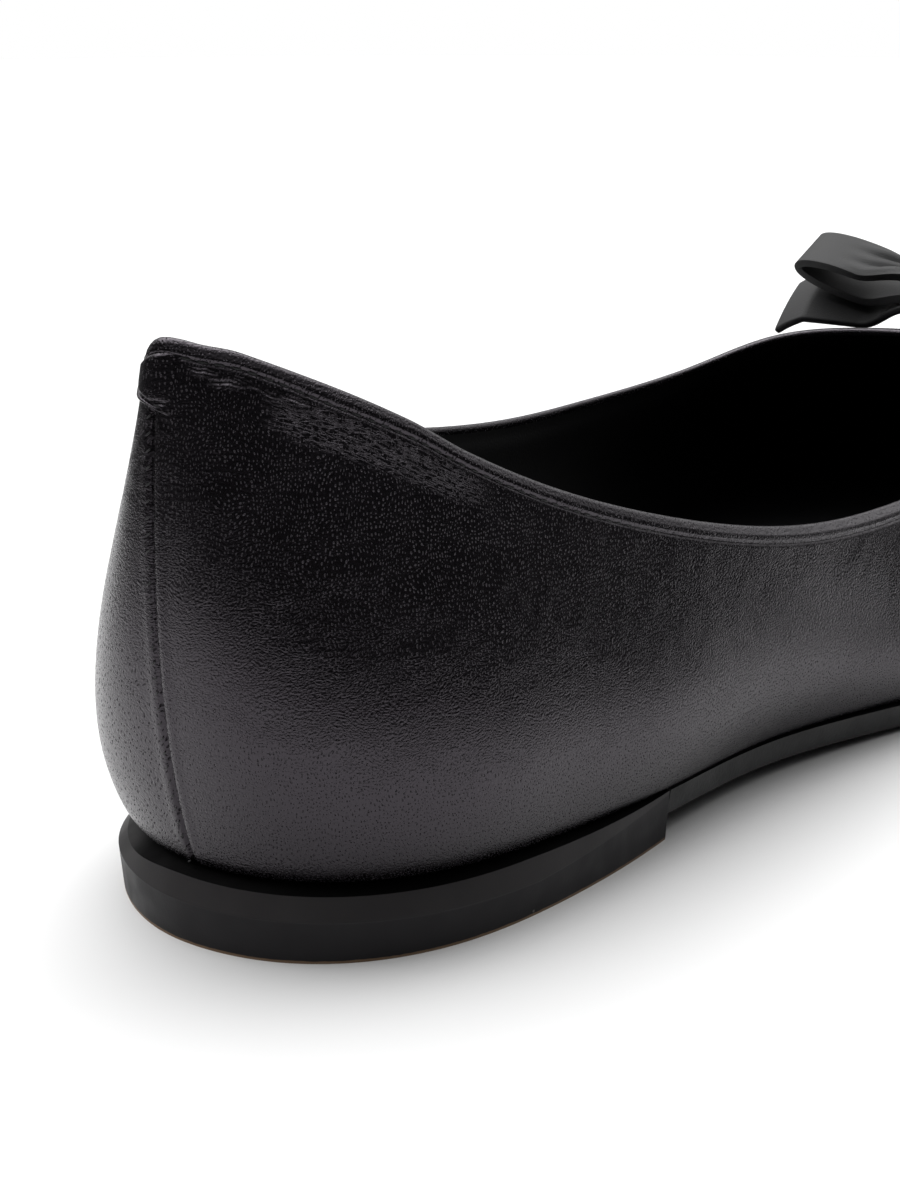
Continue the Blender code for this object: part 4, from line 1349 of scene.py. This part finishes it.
def make_tail(side_name, side):
    reach = TAIL_SPAN / 2 - MOUTH
    rows = [band_row(side * GAP, 0.0, TAIL_LEVEL, RIBBON_PINCH / 2)]
    for i in range(TAIL_STEPS + 1):
        out = i / TAIL_STEPS
        under_loop = min(out * reach / LOOP_REACH, 0.85)
        z = TAIL_LEVEL + 0.9 * loop_floor(under_loop) - TAIL_DROP * out**5
        half = strip_half(out, TAIL_DEPTH, 0.9)
        slant = side * TAIL_SLANT / 2 * float(soft_step(out, 0.5, 1.0))
        sag = TAIL_SAG * float(soft_step(out, 0.0, 0.35))
        y = -TAIL_SWEEP * out**LOOP_CURL_POWER
        rows.append(band_row(side * (MOUTH + reach * out), y, z, half, slant, sag=sag))
    ribbon("tail_" + side_name, rows, "bow_tail_" + side_name)


def make_knot():
    hole_y = RIBBON_PINCH / 2 + GAP
    hole_z = STACK_HEIGHT / 2 + GAP
    count = 72
    rings = []
    for i in range(17):
        x = -0.5 + i / 16
        rings.append((x, 1 - 0.30 * abs(2 * x) ** 2.6 + 0.04 * math.cos(2 * math.pi * 3 * x)))
    rings += [(0.5, 0.0), (-0.5, 0.0)]
    points = []
    for x, wall_share in rings:
        for i in range(count):
            angle = 2 * math.pi * i / count
            c, s = math.cos(angle), math.sin(angle)
            y = math.copysign(abs(c) ** KNOT_SQUARENESS, c) * hole_y
            z = math.copysign(abs(s) ** KNOT_SQUARENESS, s) * hole_z
            thick = wall_share * KNOT_WALL
            points.append(BOW_PLACE @ Vector((x * KNOT_WIDTH, y + c * thick, ROLL_AXIS + z + s * thick)))
    faces = grid_faces(len(rings), count, wrap_rows=True, wrap_columns=True)
    new_piece("knot", np.array(points), faces, bow_leather, ["bow_knot"], sharp=45)


def make_bow_leather():
    """Matt black kid, softer and duller than the upper."""
    material, tree, shader = new_material("matt bow leather", (0.0080, 0.0080, 0.0088), 0.58,
                                          Specular_IOR_Level=0.35, Sheen_Weight=0.05, Sheen_Roughness=0.5)
    add_relief(tree, shader, grain_height(tree), 0.00002)
    return material


BOW_PLACE = bow_place()
bow_leather = make_bow_leather()
for side_name, side in (("outer", 1), ("inner", -1)):
    make_loop(side_name, side)
    make_tail(side_name, side)
make_knot()
